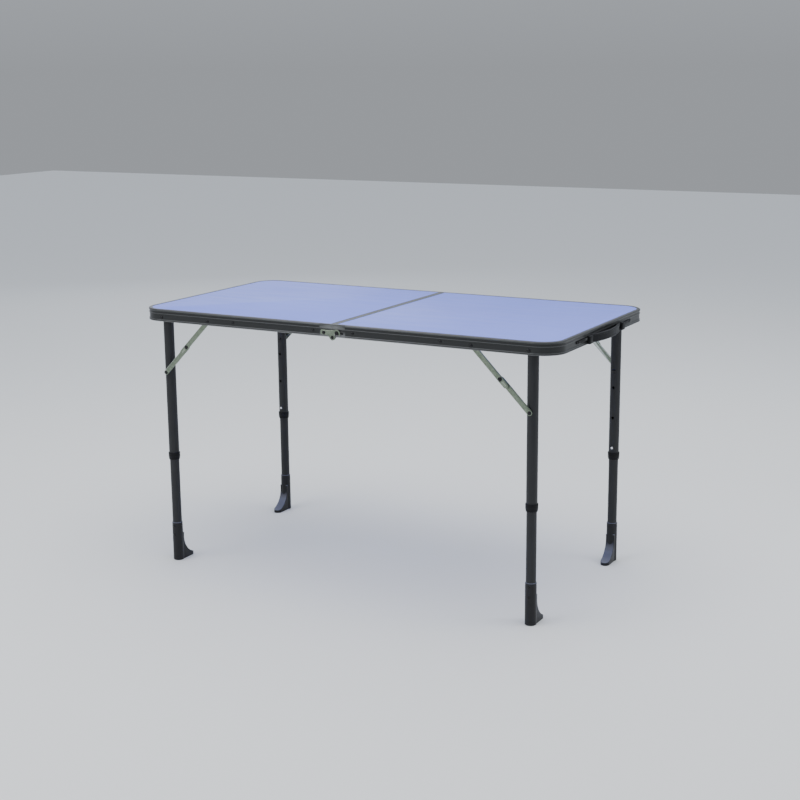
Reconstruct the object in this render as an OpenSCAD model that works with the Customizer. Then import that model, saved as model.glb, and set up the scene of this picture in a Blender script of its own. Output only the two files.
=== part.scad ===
// Folding picnic table: two board halves hinged at the seam, each with a folding pair of
// height-adjustable legs held by two-link braces. Units are mm, +Z is up, the floor is z = 0.
// Every sub-part is drawn once for the +X +Y quarter and mirrored to its own place.

/* [Table top] */
// Length of the open top along X
length = 1200; // [900:10:1600]
// Width of the top along Y
width = 600; // [450:10:800]
// Height of the top above the floor
height = 700; // [600:5:800]
// Height of the rail skirt
rail_height = 32; // [30:1:42]
// Outside radius of the top's corners
corner_radius = 60; // [30:1:90]
// Thickness of the laminated board
board_thickness = 4; // [3:0.5:6]
// Gap between the two halves at the seam
seam_gap = 0.8; // [0.6:0.1:2]
// Distance of the cross strap from the seam
strap_at = 300; // [200:5:420]

/* [Legs] */
// Distance from the table's end to the leg axis
leg_inset = 71; // [65:1:120]
// Outside diameter of the upper leg tube
upper_tube_d = 27.5; // [22:0.5:33]
// Wall thickness of the leg tubes
tube_wall = 1.1; // [0.9:0.1:2]
// Distance from the leg pivot down to the collar's top
collar_at = 373; // [330:1:420]
// Length of the plastic collar
collar_length = 20; // [14:1:30]
// Spacing of the height holes; the travel is two of them
hole_pitch = 82.5; // [50:0.5:84]
// Height of the boot from the floor
boot_height = 108; // [80:1:120]
// Reach of the foot from the leg axis towards the table's middle
foot_reach = 58; // [40:1:80]
// Diameter of the snap button
button_d = 6.8; // [5:0.1:8]

/* [Braces] */
// Distance from the leg pivot in to the brace's rail pivot
brace_reach = 148; // [120:1:170]
// Distance from the leg pivot down to the brace's leg pivot
brace_drop = 150; // [120:1:170]
// Width of a brace link
link_width = 13; // [10:0.5:16]
// Length of the upper link past the elbow
link_tail = 20; // [10:1:24]

/* [Seam hinge and lock] */
// Distance of the fold axis below the rail's bottom edge
fold_drop = 1; // [0.5:0.5:4]
// Radius of the hinge leaves' round ends
lobe_r = 7.5; // [5:0.5:9]
// Distance from the seam to the lock stud
stud_at = 14; // [12:0.5:18]
// Distance from the seam to the hook's pivot
hook_at = 23; // [20:0.5:28]
// Radius of the lock stud
stud_r = 4.5; // [3.5:0.1:5]

/* [Carry handle] */
// Distance the handle stands out from the end rail
handle_reach = 20; // [14:1:30]
// Length of the handle over its two end caps
handle_length = 364; // [300:4:420]
// Length of each end cap
cap_length = 51; // [40:1:60]
// Height of each end cap
cap_height = 9; // [8:0.5:10]
// Height of the handle's grip
handle_height = 20; // [14:1:22]
// Thickness of the handle's grip
handle_thickness = 8; // [5:0.5:10]

/* [Hidden] */
$fn = 64;
// Every sub-part, in the order they are drawn

// fits
run = 0.05;       // radial clearance of a running fit
clear = 0.3;      // gap kept between pieces that move past each other
e = 0.5;          // how far a cut runs past a face
// the seam is off the origin so that the origin is under the middle of the bounding box
seam_x = -handle_reach / 2;
end_x = length / 2;
side_y = width / 2;
s0 = seam_gap / 2;
// rail section, as distances in from the outer face and down from the top
lip = 9.5;
lip_t = 1.2;
under_board = lip_t + board_thickness;
field = 0.5;      // rise of the laminate field above its gripped edge
ledge = under_board + 1.2;
wall_out = 1.6;
rib_low = 6;      // height of the lower rib
wall_in = 3.2;
y_out = side_y - wall_out;
y_in = side_y - wall_in;
// legs
upper_r = upper_tube_d / 2;
bore_r = upper_r - tube_wall;
lower_r = bore_r - run;
lower_in = lower_r - tube_wall;
collar_r = upper_r + 2.1;
leg_y = y_in - 13.3 - upper_r;
leg_x = end_x - leg_inset;
pivot_z = height - under_board - 0.55 - collar_r;
pin_r = 4;
pin_head = 4.8;
spacer_r = pivot_z - (height - rail_height + 2) - clear;
knuckle_r = upper_r + 0.4;
knuckle_w = upper_r + 1;
cross_r = upper_r * 0.76;
collar_top = pivot_z - collar_at;
upper_end = collar_top - collar_length + 4;
button_z = collar_top + 13;
lower_top = button_z + 40;
travel = 2 * hole_pitch;
boot_r = lower_r + 1.7;
socket_end = boot_height - 48;
// braces: each layer is measured in from the rail's inner face
link_t = 1.6;
link_r = link_width / 2;
up_out = y_in - 2.3;
up_in = up_out - link_t;
low_out = y_in - 7.2;
low_in = low_out - link_t;
rail_x = leg_x - brace_reach;
span = sqrt(pow(brace_reach, 2) + pow(brace_drop, 2));
link_length = span / 2;
slope = atan2(brace_drop, brace_reach);
rivet_r = 3;
blind_head = 4.2;
// seam hinge and lock
axis_z = height - rail_height - fold_drop;
lock_z = axis_z + 11.4;
hook_in = side_y + clear;
hook_out = hook_in + 1.8;
hook_r = stud_r + 1.7;
// handle
cap_y = handle_length / 2 - cap_length;
grip_half = cap_y - 27;
arc_r = (pow(grip_half, 2) + pow(handle_reach, 2)) / (2 * handle_reach);
handle_z = height - rail_height + 1 + handle_height / 2;
// the caps lie in the rail's channel, under its upper rib
channel_top = height - 13;
cap_z = channel_top - clear - cap_height / 2;
cap_tip = cap_height * 2 / 3;
cap_t = 4.5;
strip_h = cap_height - 3.5;
strip_t = 1.5;
strip_in = 14;    // how far the strip reaches into a cap
screw_y = handle_length / 2 - 14;
screw_seat = end_x + 1;

// A half of the table: s is 1 on the right and -1 on the left
module half(s) translate([seam_x, 0, 0]) mirror([s < 0 ? 1 : 0, 0, 0]) children();
// A corner of the table: f is 1 at the back and -1 at the front
module corner(s, f) half(s) mirror([0, f < 0 ? 1 : 0, 0]) children();
// The same piece at the front and the back
module both() { children(); mirror([0, 1, 0]) children(); }
// A round bar along Y at x and z, from y0 out to y1
module bar(x, z, r, y0, y1)
  translate([x, y0, z]) rotate([-90, 0, 0]) cylinder(r = r, h = y1 - y0);
// A flat shape drawn in X and Z, extruded along Y from y0 out to y1
module sheet(y0, y1)
  translate([0, y1, 0]) rotate([90, 0, 0]) linear_extrude(y1 - y0) children();

// ---- table top ----
module rail_section()
  polygon([[-1, 0], [0, -1], [0, -4.6], [-1.3, -5.6], [-1.3, -9.9], [-0.3, -10.6],
    [-0.3, -12.2], [-wall_out, -13], [-wall_out, rib_low - rail_height],
    [-0.4, rib_low - 0.6 - rail_height], [-0.4, 3.4 - rail_height], [-1.2, 2.9 - rail_height],
    [-1.2, 2.4 - rail_height], [0, 1.8 - rail_height], [0, 0.6 - rail_height],
    [-0.6, -rail_height], [-3.8, -rail_height], [-3.8, 1.4 - rail_height],
    [-wall_in, 2 - rail_height], [-wall_in, -ledge], [-lip, -ledge],
    [-lip, -under_board], [-2.4, -under_board], [-2.4, -lip_t], [-lip, -lip_t], [-lip, 0]]);

module rail_side()
  translate([s0, side_y, height]) rotate([90, 0, 90])
    linear_extrude(end_x - corner_radius - s0) rail_section();

module rail_corner()
  translate([end_x - corner_radius, side_y - corner_radius, height])
    rotate_extrude(angle = 90) translate([corner_radius, 0]) rail_section();

module rail(s) {
  difference() {
    union() {
      both() { rail_side(); rail_corner(); }
      translate([end_x, side_y - corner_radius, height]) rotate([90, 0, 0])
        linear_extrude(width - 2 * corner_radius) rail_section();
    }
    both() {
      // flat seat for the seam hinge, with the inner return cut back
      translate([s0 - e, y_out, height - rail_height - e]) cube([37, 10, rail_height - 12.5]);
      translate([s0 - e, y_in - 5, height - rail_height - e]) cube([37, 5, 4]);
      bar(0, axis_z, rivet_r + 2 * clear, y_in - 5, side_y + 1);
      // holes for the pins and rivets
      bar(leg_x, pivot_z, pin_r, y_in - 1, side_y + 1);
      bar(rail_x, pivot_z, rivet_r, y_in - 1, side_y + 1);
      for (x = [57, strap_at]) bar(x, pivot_z + 3, 2.4, y_in - 1, side_y + 1);
      // spot faces, so that each head beds on a flat
      for (x = [57, strap_at]) bar(x, pivot_z + 3, blind_head + 0.15, y_out, side_y + 1);
      for (x = [rail_x, leg_x]) bar(x, pivot_z, pin_head + 0.15, y_out, side_y + 1);
      if (s > 0) {
        bar(stud_at, lock_z, rivet_r, y_in - 1, side_y + 1);
        bar(2 * stud_at, lock_z, 2, y_in - 1, side_y + 1);
      } else {
        bar(hook_at, lock_z, rivet_r, y_in - 1, side_y + 1);
        bar(hook_at - 11, lock_z, 2, y_in - 1, side_y + 1);
      }
    }
    if (s > 0) both() translate([end_x - 8, screw_y, cap_z]) rotate([0, 90, 0])
      cylinder(r = 2, h = 10);
  }
}

// A slab from x0 out, set in from the rail's outer faces, with two round corners
module slab(x0, inset, z0, h) translate([0, 0, z0]) {
  both() translate([end_x - corner_radius, side_y - corner_radius, 0])
    cylinder(r = corner_radius - inset, h = h);
  translate([x0, inset - side_y, 0])
    cube([end_x - corner_radius - x0, width - 2 * inset, h]);
  translate([x0, corner_radius - side_y, 0])
    cube([end_x - inset - x0, width - 2 * corner_radius, h]);
}

// The edge is stepped down where the rail's lip and the seam trim grip it
module board() union() {
  slab(s0 + 1.2, 2.4, height - under_board, board_thickness);
  slab(s0 + 8.6 + 0.2, lip + 0.2, height - lip_t - 1, 1 + field);
}

module seam_trim()
  translate([0, lip - side_y, height]) difference() {
    translate([s0, 0, -ledge]) cube([8.6, width - 2 * lip, ledge]);
    translate([s0 + 1.2, -e, -under_board]) cube([20, width, board_thickness]);
  }

module strap() {
  translate([strap_at - 12, lip - side_y, height - under_board - 1.8])
    cube([24, width - 2 * lip, 1.8]);
  both() difference() {
    translate([strap_at - 12, y_in - 10.8, height - ledge - 18])
      cube([24, 10.8, 18]);
    translate([strap_at - 13, y_in - 12, height - ledge - 19]) cube([26, 10.4, 17.4]);
    bar(strap_at, pivot_z + 3, 2.4, y_in - 12, y_in + 1);
  }
}

// A blind rivet at x and z through the rail wall; deep is how far in its tail starts
module blind(x, z, deep) {
  bar(x, z, 2.4, y_in - deep - 1.2, y_out + 0.4);
  bar(x, z, blind_head, y_out, y_out + 1.8);
  bar(x, z, 3.8, y_in - deep - 1.2, y_in - deep);
}

module half_rivets(s) both() {
  blind(57, pivot_z + 3, 0);
  blind(strap_at, pivot_z + 3, 1.6);
  // the brace's rail pivot, with a washer behind the link and a head before it
  bar(rail_x, pivot_z, rivet_r, up_in - clear - 1.4, y_out + 0.4);
  bar(rail_x, pivot_z, pin_head, y_out, y_out + 1.9);
  bar(rail_x, pivot_z, 5.4, up_out + clear, y_in);
  bar(rail_x, pivot_z, 5, up_in - clear - 1.4, up_in - clear);
  // the small rivet that holds the hinge leaf
  if (s > 0) {
    bar(2 * stud_at, lock_z, 2, y_in - 2.6, y_out + 0.4);
    bar(2 * stud_at, lock_z, 3.4, y_out, y_out + 1);
  } else bar(hook_at - 11, lock_z, 2, y_in - 1.2, y_out + 1.5);
}

module pivot_pins() both() {
  bar(leg_x, pivot_z, pin_r, leg_y - 3, y_out + 0.4);
  bar(leg_x, pivot_z, pin_head, y_out, y_out + 1.9);
}

module pivot_spacers() both() difference() {
  bar(leg_x, pivot_z, spacer_r, leg_y + knuckle_w + 0.4, y_in);
  bar(leg_x, pivot_z, pin_r, leg_y, y_in + 1);
}

// ---- seam hinge and lock ----
// The leaf's outline in X and Z: a plate on the rail and a round end at the fold axis
module leaf_shape() {
  polygon([[3, lock_z + 6.5], [34, lock_z + 6.5], [34, lock_z - 5], [12, lock_z - 6.5],
    [lobe_r * 0.85, axis_z - lobe_r * 0.5], [-lobe_r * 0.7, axis_z + lobe_r * 0.7],
    [3, axis_z + lobe_r + 2]]);
  translate([0, axis_z]) circle(r = lobe_r);
}

// The left leaf lies outside the rail, and the right one inside it
module left_leaf() both() difference() {
  sheet(y_out, y_out + 1.5) leaf_shape();
  translate([-30, y_out - e, axis_z - 30]) cube([30.9, e + 0.4, 60]);
  bar(0, axis_z, rivet_r, y_in, side_y + 1);
  bar(hook_at, lock_z, rivet_r, y_in, side_y + 1);
  bar(hook_at - 11, lock_z, 2, y_in, side_y + 1);
}

module right_leaf() both() difference() {
  sheet(y_in - 1.6, y_in) leaf_shape();
  translate([-30, y_in - 0.4, axis_z - 30]) cube([32.9, e + 0.4, 60]);
  bar(0, axis_z, rivet_r + run, y_in - 2, y_in + 1);
  bar(stud_at, lock_z, rivet_r, y_in - 2, y_in + 1);
  bar(2 * stud_at, lock_z, 2, y_in - 2, y_in + 1);
}

module seam_pivot_pins() both() {
  bar(0, axis_z, rivet_r, y_in - 3.2, y_out + 2);
  bar(0, axis_z, 4.4, y_out + 1.5, y_out + 2.7);
  bar(0, axis_z, 4.8, y_in - 3.2, y_in - 1.6 - clear);
  bar(hook_at, lock_z, rivet_r, y_in - 1.2, hook_out + 1);
  bar(hook_at, lock_z, 4.8, hook_out + clear, hook_out + clear + 1.2);
  bar(hook_at, lock_z, 4.4, y_in - 1.2, y_in);
}

module studs() both() {
  bar(stud_at, lock_z, rivet_r, y_in - 2.8, y_out + 0.5);
  bar(stud_at, lock_z, 4.2, y_in - 2.8, y_in - 1.6);
  bar(stud_at, lock_z, stud_r + 0.6, y_out, side_y - 0.4);
  translate([stud_at, y_out, lock_z]) rotate([-90, 0, 0]) rotate_extrude()
    polygon([[0, 0], [stud_r, 0], [stud_r, hook_out - y_out], [stud_r - 0.7, hook_out - y_out + 0.8],
      [0, hook_out - y_out + 1.1]]);
}

// Drawn on the left, where +X points away from the seam, so the stud is at -X
module hook() difference() {
  sheet(hook_in, hook_out) difference() {
    union() {
      polygon([[hook_at + 5, lock_z + 2.6], [hook_at + 2.6, lock_z + 6], [-6, lock_z + 7.6],
        [-stud_at, lock_z + 2], [-6, lock_z - 5.4], [hook_at + 2.6, lock_z - 5.2],
        [hook_at + 5, lock_z - 2.4]]);
      translate([-stud_at, lock_z]) circle(r = hook_r + 3.3);
    }
    // the mouth opens downwards, and the far side of the ring ends short
    translate([-stud_at, lock_z]) circle(r = hook_r);
    translate([-stud_at - hook_r, lock_z - 31]) square([2 * hook_r, 30]);
    translate([-stud_at - 20, lock_z - 36]) square([20, 30]);
  }
  bar(hook_at, lock_z, rivet_r + run, side_y - 1, hook_out + 1);
}

// ---- carry handle ----
// A bowed grip with blunt ends, moulded over a flat strip
module grip() {
  translate([0, 0, handle_z - handle_height / 2]) linear_extrude(handle_height) {
    intersection() {
      difference() {
        translate([end_x + handle_reach - arc_r, 0]) circle(r = arc_r, $fn = 256);
        translate([end_x + handle_reach - arc_r, 0])
          circle(r = arc_r - handle_thickness, $fn = 256);
      }
      translate([end_x, -grip_half]) square([60, 2 * grip_half]);
    }
    for (f = [-1, 1]) translate([end_x, f * (grip_half + 4) - 9])
      square([handle_thickness + 1, 18]);
  }
  both() translate([end_x + 0.1, grip_half, cap_z - strip_h / 2])
    cube([strip_t, cap_y + strip_in - grip_half, strip_h]);
}

// A tapered cap that is screwed to the rail and lets the strip's end slide
module end_cap() difference() {
  intersection() {
    translate([0, 0, cap_z - cap_height]) linear_extrude(2 * cap_height)
      polygon([[end_x - wall_out, cap_y], [end_x - wall_out, cap_y + cap_length],
        [end_x + 0.4, cap_y + cap_length], [end_x - wall_out + cap_t, cap_y + 10],
        [end_x - wall_out + cap_t, cap_y]]);
    translate([end_x - 10, 0, cap_z]) rotate([90, 0, 90]) linear_extrude(40)
      polygon([[cap_y, -cap_height / 2], [cap_y + cap_length, -cap_tip / 2],
        [cap_y + cap_length, cap_tip / 2], [cap_y, cap_height / 2]]);
  }
  translate([end_x - wall_out - e, cap_y - e, cap_z - strip_h / 2 - clear])
    cube([wall_out + e + 0.1 + strip_t + clear, strip_in + 1 + e, strip_h + 2 * clear]);
  translate([end_x - 8, screw_y, cap_z]) rotate([0, 90, 0]) cylinder(r = 2, h = 16);
  translate([screw_seat, screw_y, cap_z]) rotate([0, 90, 0]) cylinder(r = 3.6, h = 9);
}

module handle() { grip(); both() end_cap(); }

module screws() both() translate([screw_seat, screw_y, cap_z]) rotate([0, 90, 0]) {
  translate([0, 0, -7]) cylinder(r = 2, h = 7.4);
  cylinder(r = 3.4, h = 1.4);
}

// ---- legs ----
module cross_tube() difference() {
  bar(leg_x, pivot_z, cross_r, 6 - leg_y, leg_y - 6);
  bar(leg_x, pivot_z, cross_r - 1.5, 5 - leg_y, leg_y - 5);
}

module knuckles() both() difference() {
  union() {
    bar(leg_x, pivot_z, knuckle_r, leg_y - knuckle_w, leg_y + knuckle_w);
    translate([leg_x, leg_y, pivot_z - 40]) cylinder(r = bore_r, h = 40);
  }
  bar(leg_x, pivot_z, cross_r, leg_y - knuckle_w - 1, leg_y - 6);
  bar(leg_x, pivot_z, pin_r + run, leg_y - 5, leg_y + knuckle_w + 1);
}

module upper_tubes() both() difference() {
  translate([leg_x, leg_y, upper_end]) cylinder(r = upper_r, h = pivot_z - upper_end);
  translate([leg_x, leg_y, upper_end - 1]) cylinder(r = bore_r, h = pivot_z - upper_end + 2);
  bar(leg_x, pivot_z, knuckle_r, leg_y - knuckle_w, leg_y + knuckle_w);
  bar(leg_x, pivot_z - brace_drop, rivet_r, leg_y - upper_r - 1, leg_y + upper_r + 1);
  for (i = [0:2]) bar(leg_x, button_z + i * hole_pitch, button_d / 2 + 0.1,
    leg_y - upper_r - 1, leg_y);
}

module collars() both() translate([leg_x, leg_y, collar_top - collar_length]) difference() {
  cylinder(r = collar_r, h = collar_length);
  translate([0, 0, 4]) cylinder(r = upper_r, h = collar_length);
  translate([0, 0, -1]) cylinder(r = bore_r, h = collar_length);
}

module anchors() both() {
  bar(leg_x, pivot_z - brace_drop, rivet_r, leg_y - upper_r - 1, leg_y + upper_r - 0.1);
  difference() {
    bar(leg_x, pivot_z - brace_drop, 6, leg_y - upper_r - 1.8, leg_y - upper_r + 2);
    translate([leg_x, leg_y, pivot_z - brace_drop - 10]) cylinder(r = upper_r, h = 20);
  }
}

module lower_tube() difference() {
  translate([leg_x, leg_y, socket_end]) cylinder(r = lower_r, h = lower_top - socket_end);
  translate([leg_x, leg_y, socket_end - 1])
    cylinder(r = lower_in, h = lower_top - socket_end + 2);
  bar(leg_x, button_z, button_d / 2 + 0.1, leg_y - upper_r, leg_y);
  for (z = [boot_height - 10, boot_height - 35]) bar(leg_x, z, 2, leg_y, leg_y + upper_r);
}

// The foot's side view: y runs from the leg axis inwards, with a hollow curve on top
module foot_side() difference() {
  translate([0, 0]) square([foot_reach, boot_height * 0.7]);
  translate([foot_reach + 12, foot_reach + 7]) circle(r = foot_reach);
  translate([foot_reach, 7]) square([40, 100]);
}

module boot() translate([leg_x, leg_y, 0]) difference() {
  union() {
    cylinder(r = boot_r, h = boot_height);
    intersection() {
      translate([-50, 0, 0]) rotate([90, 0, 90]) linear_extrude(100) mirror([1, 0]) foot_side();
      linear_extrude(boot_height) union() {
        translate([-boot_r + 2, 12 - foot_reach]) square([2 * boot_r - 4, foot_reach - 12]);
        translate([0, 12 - foot_reach]) circle(r = boot_r - 2);
      }
    }
  }
  translate([0, 0, socket_end]) cylinder(r = lower_r, h = boot_height);
  for (z = [boot_height - 10, boot_height - 35]) bar(0, z, 2, 0, boot_r + 2);
}

module boot_rivets() for (z = [boot_height - 10, boot_height - 35]) {
  bar(leg_x, z, 2, leg_y + lower_in + 0.1, leg_y + boot_r);
  bar(leg_x, z, 3.4, leg_y + boot_r, leg_y + boot_r + 1.2);
}

// The button stands on one arm of a bent spring strip inside the lower tube
module snap_button() translate([leg_x, leg_y, button_z]) {
  rotate([90, 0, 0]) rotate_extrude() polygon([[0, 0.78 * lower_in], [button_d / 2, 0.78 * lower_in],
    [button_d / 2, upper_r + 0.9], [button_d / 2 - 0.9, upper_r + 1.9], [0, upper_r + 2.3]]);
  translate([-4, -0.86 * lower_in, -8]) cube([8, 0.7, 28]);
  translate([-4, 0.24 * lower_in, -2]) cube([8, 0.7, 22]);
  translate([-4, 0.35 - 0.31 * lower_in, 20]) rotate([90, 0, 90]) rotate_extrude(angle = 180)
    translate([0.55 * lower_in - 0.35, 0]) square([0.7, 8]);
}

// ---- braces, drawn along the link and then turned down to its slope ----
module on_link(at) translate([rail_x, 0, pivot_z]) rotate([0, slope, 0]) translate([at, 0, 0])
  children();

module link_web(y0, y1, x1) {
  bar(0, 0, link_r, y0, y1);
  bar(x1, 0, link_r, y0, y1);
  translate([0, y0, -link_r]) cube([x1, y1 - y0, link_width]);
}

module upper_link() on_link(0) difference() {
  union() {
    link_web(up_in, up_out, link_length + link_tail);
    translate([0, up_in - 2.7, link_r - 1.3]) cube([link_length + link_tail, 2.8, 1.3]);
    for (x = [link_length - 14, link_length + link_tail - 5]) bar(x, 0, 2, up_out, up_out + 0.6);
  }
  bar(0, 0, rivet_r + run, up_in - 1, up_out + 1);
  bar(link_length, 0, rivet_r, up_in - 1, up_out + 1);
}

module elbow_rivet() on_link(link_length) {
  bar(0, 0, rivet_r, low_in - clear - 1.3, up_out + 0.5);
  bar(0, 0, 5.5, up_out, up_out + 1.3);
  bar(0, 0, 5, low_out + clear, up_in);
  bar(0, 0, 5, low_in - clear - 1.3, low_in - clear);
}

module lower_link() on_link(link_length) difference() {
  union() {
    link_web(low_in, low_out, link_length);
    translate([0, low_in - 2.4, link_r - 1.3]) cube([link_length, 2.5, 1.3]);
    bar(link_length, 0, 4.6, leg_y + upper_r + 0.4, low_in);
    bar(link_length, 0, 5.2, low_out, low_out + 1.3);
  }
  bar(0, 0, rivet_r + run, low_in - 1, low_out + 1);
}

// ---- the numbered sub-parts ----
module left_board() color([0.55, 0.60, 0.72]) half(-1) board();
module left_rail() color([0.16, 0.16, 0.17]) half(-1) rail(-1);
module left_seam_trim() color([0.30, 0.30, 0.32]) half(-1) seam_trim();
module left_strap() color([0.60, 0.61, 0.63]) half(-1) strap();
module left_rivets() color([0.08, 0.08, 0.09]) half(-1) half_rivets(-1);
module left_pivot_pins() color([0.08, 0.08, 0.09]) half(-1) pivot_pins();
module left_pivot_spacers() color([0.05, 0.05, 0.05]) half(-1) pivot_spacers();
module left_hinge_leaves() color([0.62, 0.63, 0.62]) half(-1) left_leaf();
module seam_pivots() color([0.08, 0.08, 0.09]) half(-1) seam_pivot_pins();
module right_board() color([0.55, 0.60, 0.72]) half(1) board();
module right_rail() color([0.16, 0.16, 0.17]) half(1) rail(1);
module right_seam_trim() color([0.30, 0.30, 0.32]) half(1) seam_trim();
module right_strap() color([0.60, 0.61, 0.63]) half(1) strap();
module right_rivets() color([0.08, 0.08, 0.09]) half(1) half_rivets(1);
module right_pivot_pins() color([0.08, 0.08, 0.09]) half(1) pivot_pins();
module right_pivot_spacers() color([0.05, 0.05, 0.05]) half(1) pivot_spacers();
module right_hinge_leaves() color([0.62, 0.63, 0.62]) half(1) right_leaf();
module lock_studs() color([0.08, 0.08, 0.09]) half(1) studs();
module carry_handle() color([0.05, 0.05, 0.06]) half(1) handle();
module handle_screws() color([0.10, 0.10, 0.11]) half(1) screws();
module left_cross_tube() color([0.14, 0.14, 0.15]) half(-1) cross_tube();
module left_knuckles() color([0.05, 0.05, 0.06]) half(-1) knuckles();
module left_upper_tubes() color([0.15, 0.15, 0.16]) half(-1) upper_tubes();
module left_collars() color([0.04, 0.04, 0.05]) half(-1) collars();
module left_anchors() color([0.08, 0.08, 0.09]) half(-1) anchors();
module right_cross_tube() color([0.14, 0.14, 0.15]) half(1) cross_tube();
module right_knuckles() color([0.05, 0.05, 0.06]) half(1) knuckles();
module right_upper_tubes() color([0.15, 0.15, 0.16]) half(1) upper_tubes();
module right_collars() color([0.04, 0.04, 0.05]) half(1) collars();
module right_anchors() color([0.08, 0.08, 0.09]) half(1) anchors();
module lf_lower_tube() color([0.13, 0.13, 0.14]) corner(-1, -1) lower_tube();
module lf_boot() color([0.04, 0.04, 0.05]) corner(-1, -1) boot();
module lf_boot_rivets() color([0.10, 0.10, 0.11]) corner(-1, -1) boot_rivets();
module lf_button() color([0.80, 0.81, 0.82]) corner(-1, -1) snap_button();
module lb_lower_tube() color([0.13, 0.13, 0.14]) corner(-1, 1) lower_tube();
module lb_boot() color([0.04, 0.04, 0.05]) corner(-1, 1) boot();
module lb_boot_rivets() color([0.10, 0.10, 0.11]) corner(-1, 1) boot_rivets();
module lb_button() color([0.80, 0.81, 0.82]) corner(-1, 1) snap_button();
module rf_lower_tube() color([0.13, 0.13, 0.14]) corner(1, -1) lower_tube();
module rf_boot() color([0.04, 0.04, 0.05]) corner(1, -1) boot();
module rf_boot_rivets() color([0.10, 0.10, 0.11]) corner(1, -1) boot_rivets();
module rf_button() color([0.80, 0.81, 0.82]) corner(1, -1) snap_button();
module rb_lower_tube() color([0.13, 0.13, 0.14]) corner(1, 1) lower_tube();
module rb_boot() color([0.04, 0.04, 0.05]) corner(1, 1) boot();
module rb_boot_rivets() color([0.10, 0.10, 0.11]) corner(1, 1) boot_rivets();
module rb_button() color([0.80, 0.81, 0.82]) corner(1, 1) snap_button();
module lf_upper_link() color([0.66, 0.67, 0.66]) corner(-1, -1) upper_link();
module lf_elbow_rivet() color([0.08, 0.08, 0.09]) corner(-1, -1) elbow_rivet();
module lf_lower_link() color([0.62, 0.63, 0.62]) corner(-1, -1) lower_link();
module lb_upper_link() color([0.66, 0.67, 0.66]) corner(-1, 1) upper_link();
module lb_elbow_rivet() color([0.08, 0.08, 0.09]) corner(-1, 1) elbow_rivet();
module lb_lower_link() color([0.62, 0.63, 0.62]) corner(-1, 1) lower_link();
module rf_upper_link() color([0.66, 0.67, 0.66]) corner(1, -1) upper_link();
module rf_elbow_rivet() color([0.08, 0.08, 0.09]) corner(1, -1) elbow_rivet();
module rf_lower_link() color([0.62, 0.63, 0.62]) corner(1, -1) lower_link();
module rb_upper_link() color([0.66, 0.67, 0.66]) corner(1, 1) upper_link();
module rb_elbow_rivet() color([0.08, 0.08, 0.09]) corner(1, 1) elbow_rivet();
module rb_lower_link() color([0.62, 0.63, 0.62]) corner(1, 1) lower_link();
module front_hook() color([0.62, 0.63, 0.62]) corner(-1, -1) hook();
module back_hook() color([0.62, 0.63, 0.62]) corner(-1, 1) hook();

left_board();
left_rail();
left_seam_trim();
left_strap();
left_rivets();
left_pivot_pins();
left_pivot_spacers();
left_hinge_leaves();
seam_pivots();
right_board();
right_rail();
right_seam_trim();
right_strap();
right_rivets();
right_pivot_pins();
right_pivot_spacers();
right_hinge_leaves();
lock_studs();
carry_handle();
handle_screws();
left_cross_tube();
left_knuckles();
left_upper_tubes();
left_collars();
left_anchors();
right_cross_tube();
right_knuckles();
right_upper_tubes();
right_collars();
right_anchors();
lf_lower_tube();
lf_boot();
lf_boot_rivets();
lf_button();
lb_lower_tube();
lb_boot();
lb_boot_rivets();
lb_button();
rf_lower_tube();
rf_boot();
rf_boot_rivets();
rf_button();
rb_lower_tube();
rb_boot();
rb_boot_rivets();
rb_button();
lf_upper_link();
lf_elbow_rivet();
lf_lower_link();
lb_upper_link();
lb_elbow_rivet();
lb_lower_link();
rf_upper_link();
rf_elbow_rivet();
rf_lower_link();
rb_upper_link();
rb_elbow_rivet();
rb_lower_link();
front_hook();
back_hook();
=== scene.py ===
"""Folding picnic table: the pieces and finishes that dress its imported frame.

Every shape is worked in millimetres in the frame's own axes and brought to metres when it
is finished. The table stands open, its long side along X, with the carry handle on the +X end.
"""

from __future__ import annotations

import logging
import math
from dataclasses import dataclass, field
from enum import Enum
from typing import Iterable, Sequence

import bmesh
import bpy
from mathutils import Matrix, Vector

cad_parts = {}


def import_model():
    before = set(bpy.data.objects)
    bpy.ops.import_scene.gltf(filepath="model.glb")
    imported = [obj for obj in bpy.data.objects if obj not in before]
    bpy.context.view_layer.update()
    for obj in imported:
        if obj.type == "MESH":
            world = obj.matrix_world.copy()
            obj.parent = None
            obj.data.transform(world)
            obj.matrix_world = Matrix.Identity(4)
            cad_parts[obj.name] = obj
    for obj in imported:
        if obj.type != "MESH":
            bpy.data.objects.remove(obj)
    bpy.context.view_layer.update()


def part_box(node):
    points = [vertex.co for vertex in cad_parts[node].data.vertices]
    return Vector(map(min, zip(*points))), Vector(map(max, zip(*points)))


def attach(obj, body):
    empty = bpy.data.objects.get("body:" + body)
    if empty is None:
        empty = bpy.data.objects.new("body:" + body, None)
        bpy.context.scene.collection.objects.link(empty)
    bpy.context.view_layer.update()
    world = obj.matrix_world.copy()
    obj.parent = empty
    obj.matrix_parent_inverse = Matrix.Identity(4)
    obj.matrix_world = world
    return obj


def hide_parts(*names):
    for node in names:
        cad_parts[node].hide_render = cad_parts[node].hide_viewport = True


LOG = logging.getLogger("picnic_table")
MM = 0.001
Point = tuple[float, float]
Rgb = tuple[float, float, float]


class Half(Enum):
    """The two halves of the top, by the sign of their X."""

    LEFT = -1
    RIGHT = 1

    @property
    def word(self) -> str:
        """The half's name as the frame spells it."""
        return self.name.lower()


class Row(Enum):
    """The two long sides, by the sign of their Y."""

    FRONT = -1
    BACK = 1

    @property
    def word(self) -> str:
        """The side's name as the frame spells it."""
        return self.name.lower()

    @property
    def flip(self) -> Matrix:
        """The matrix that carries a shape drawn at +Y to this side."""
        return Matrix.Diagonal((1.0, self.value, 1.0, 1.0))


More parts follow.
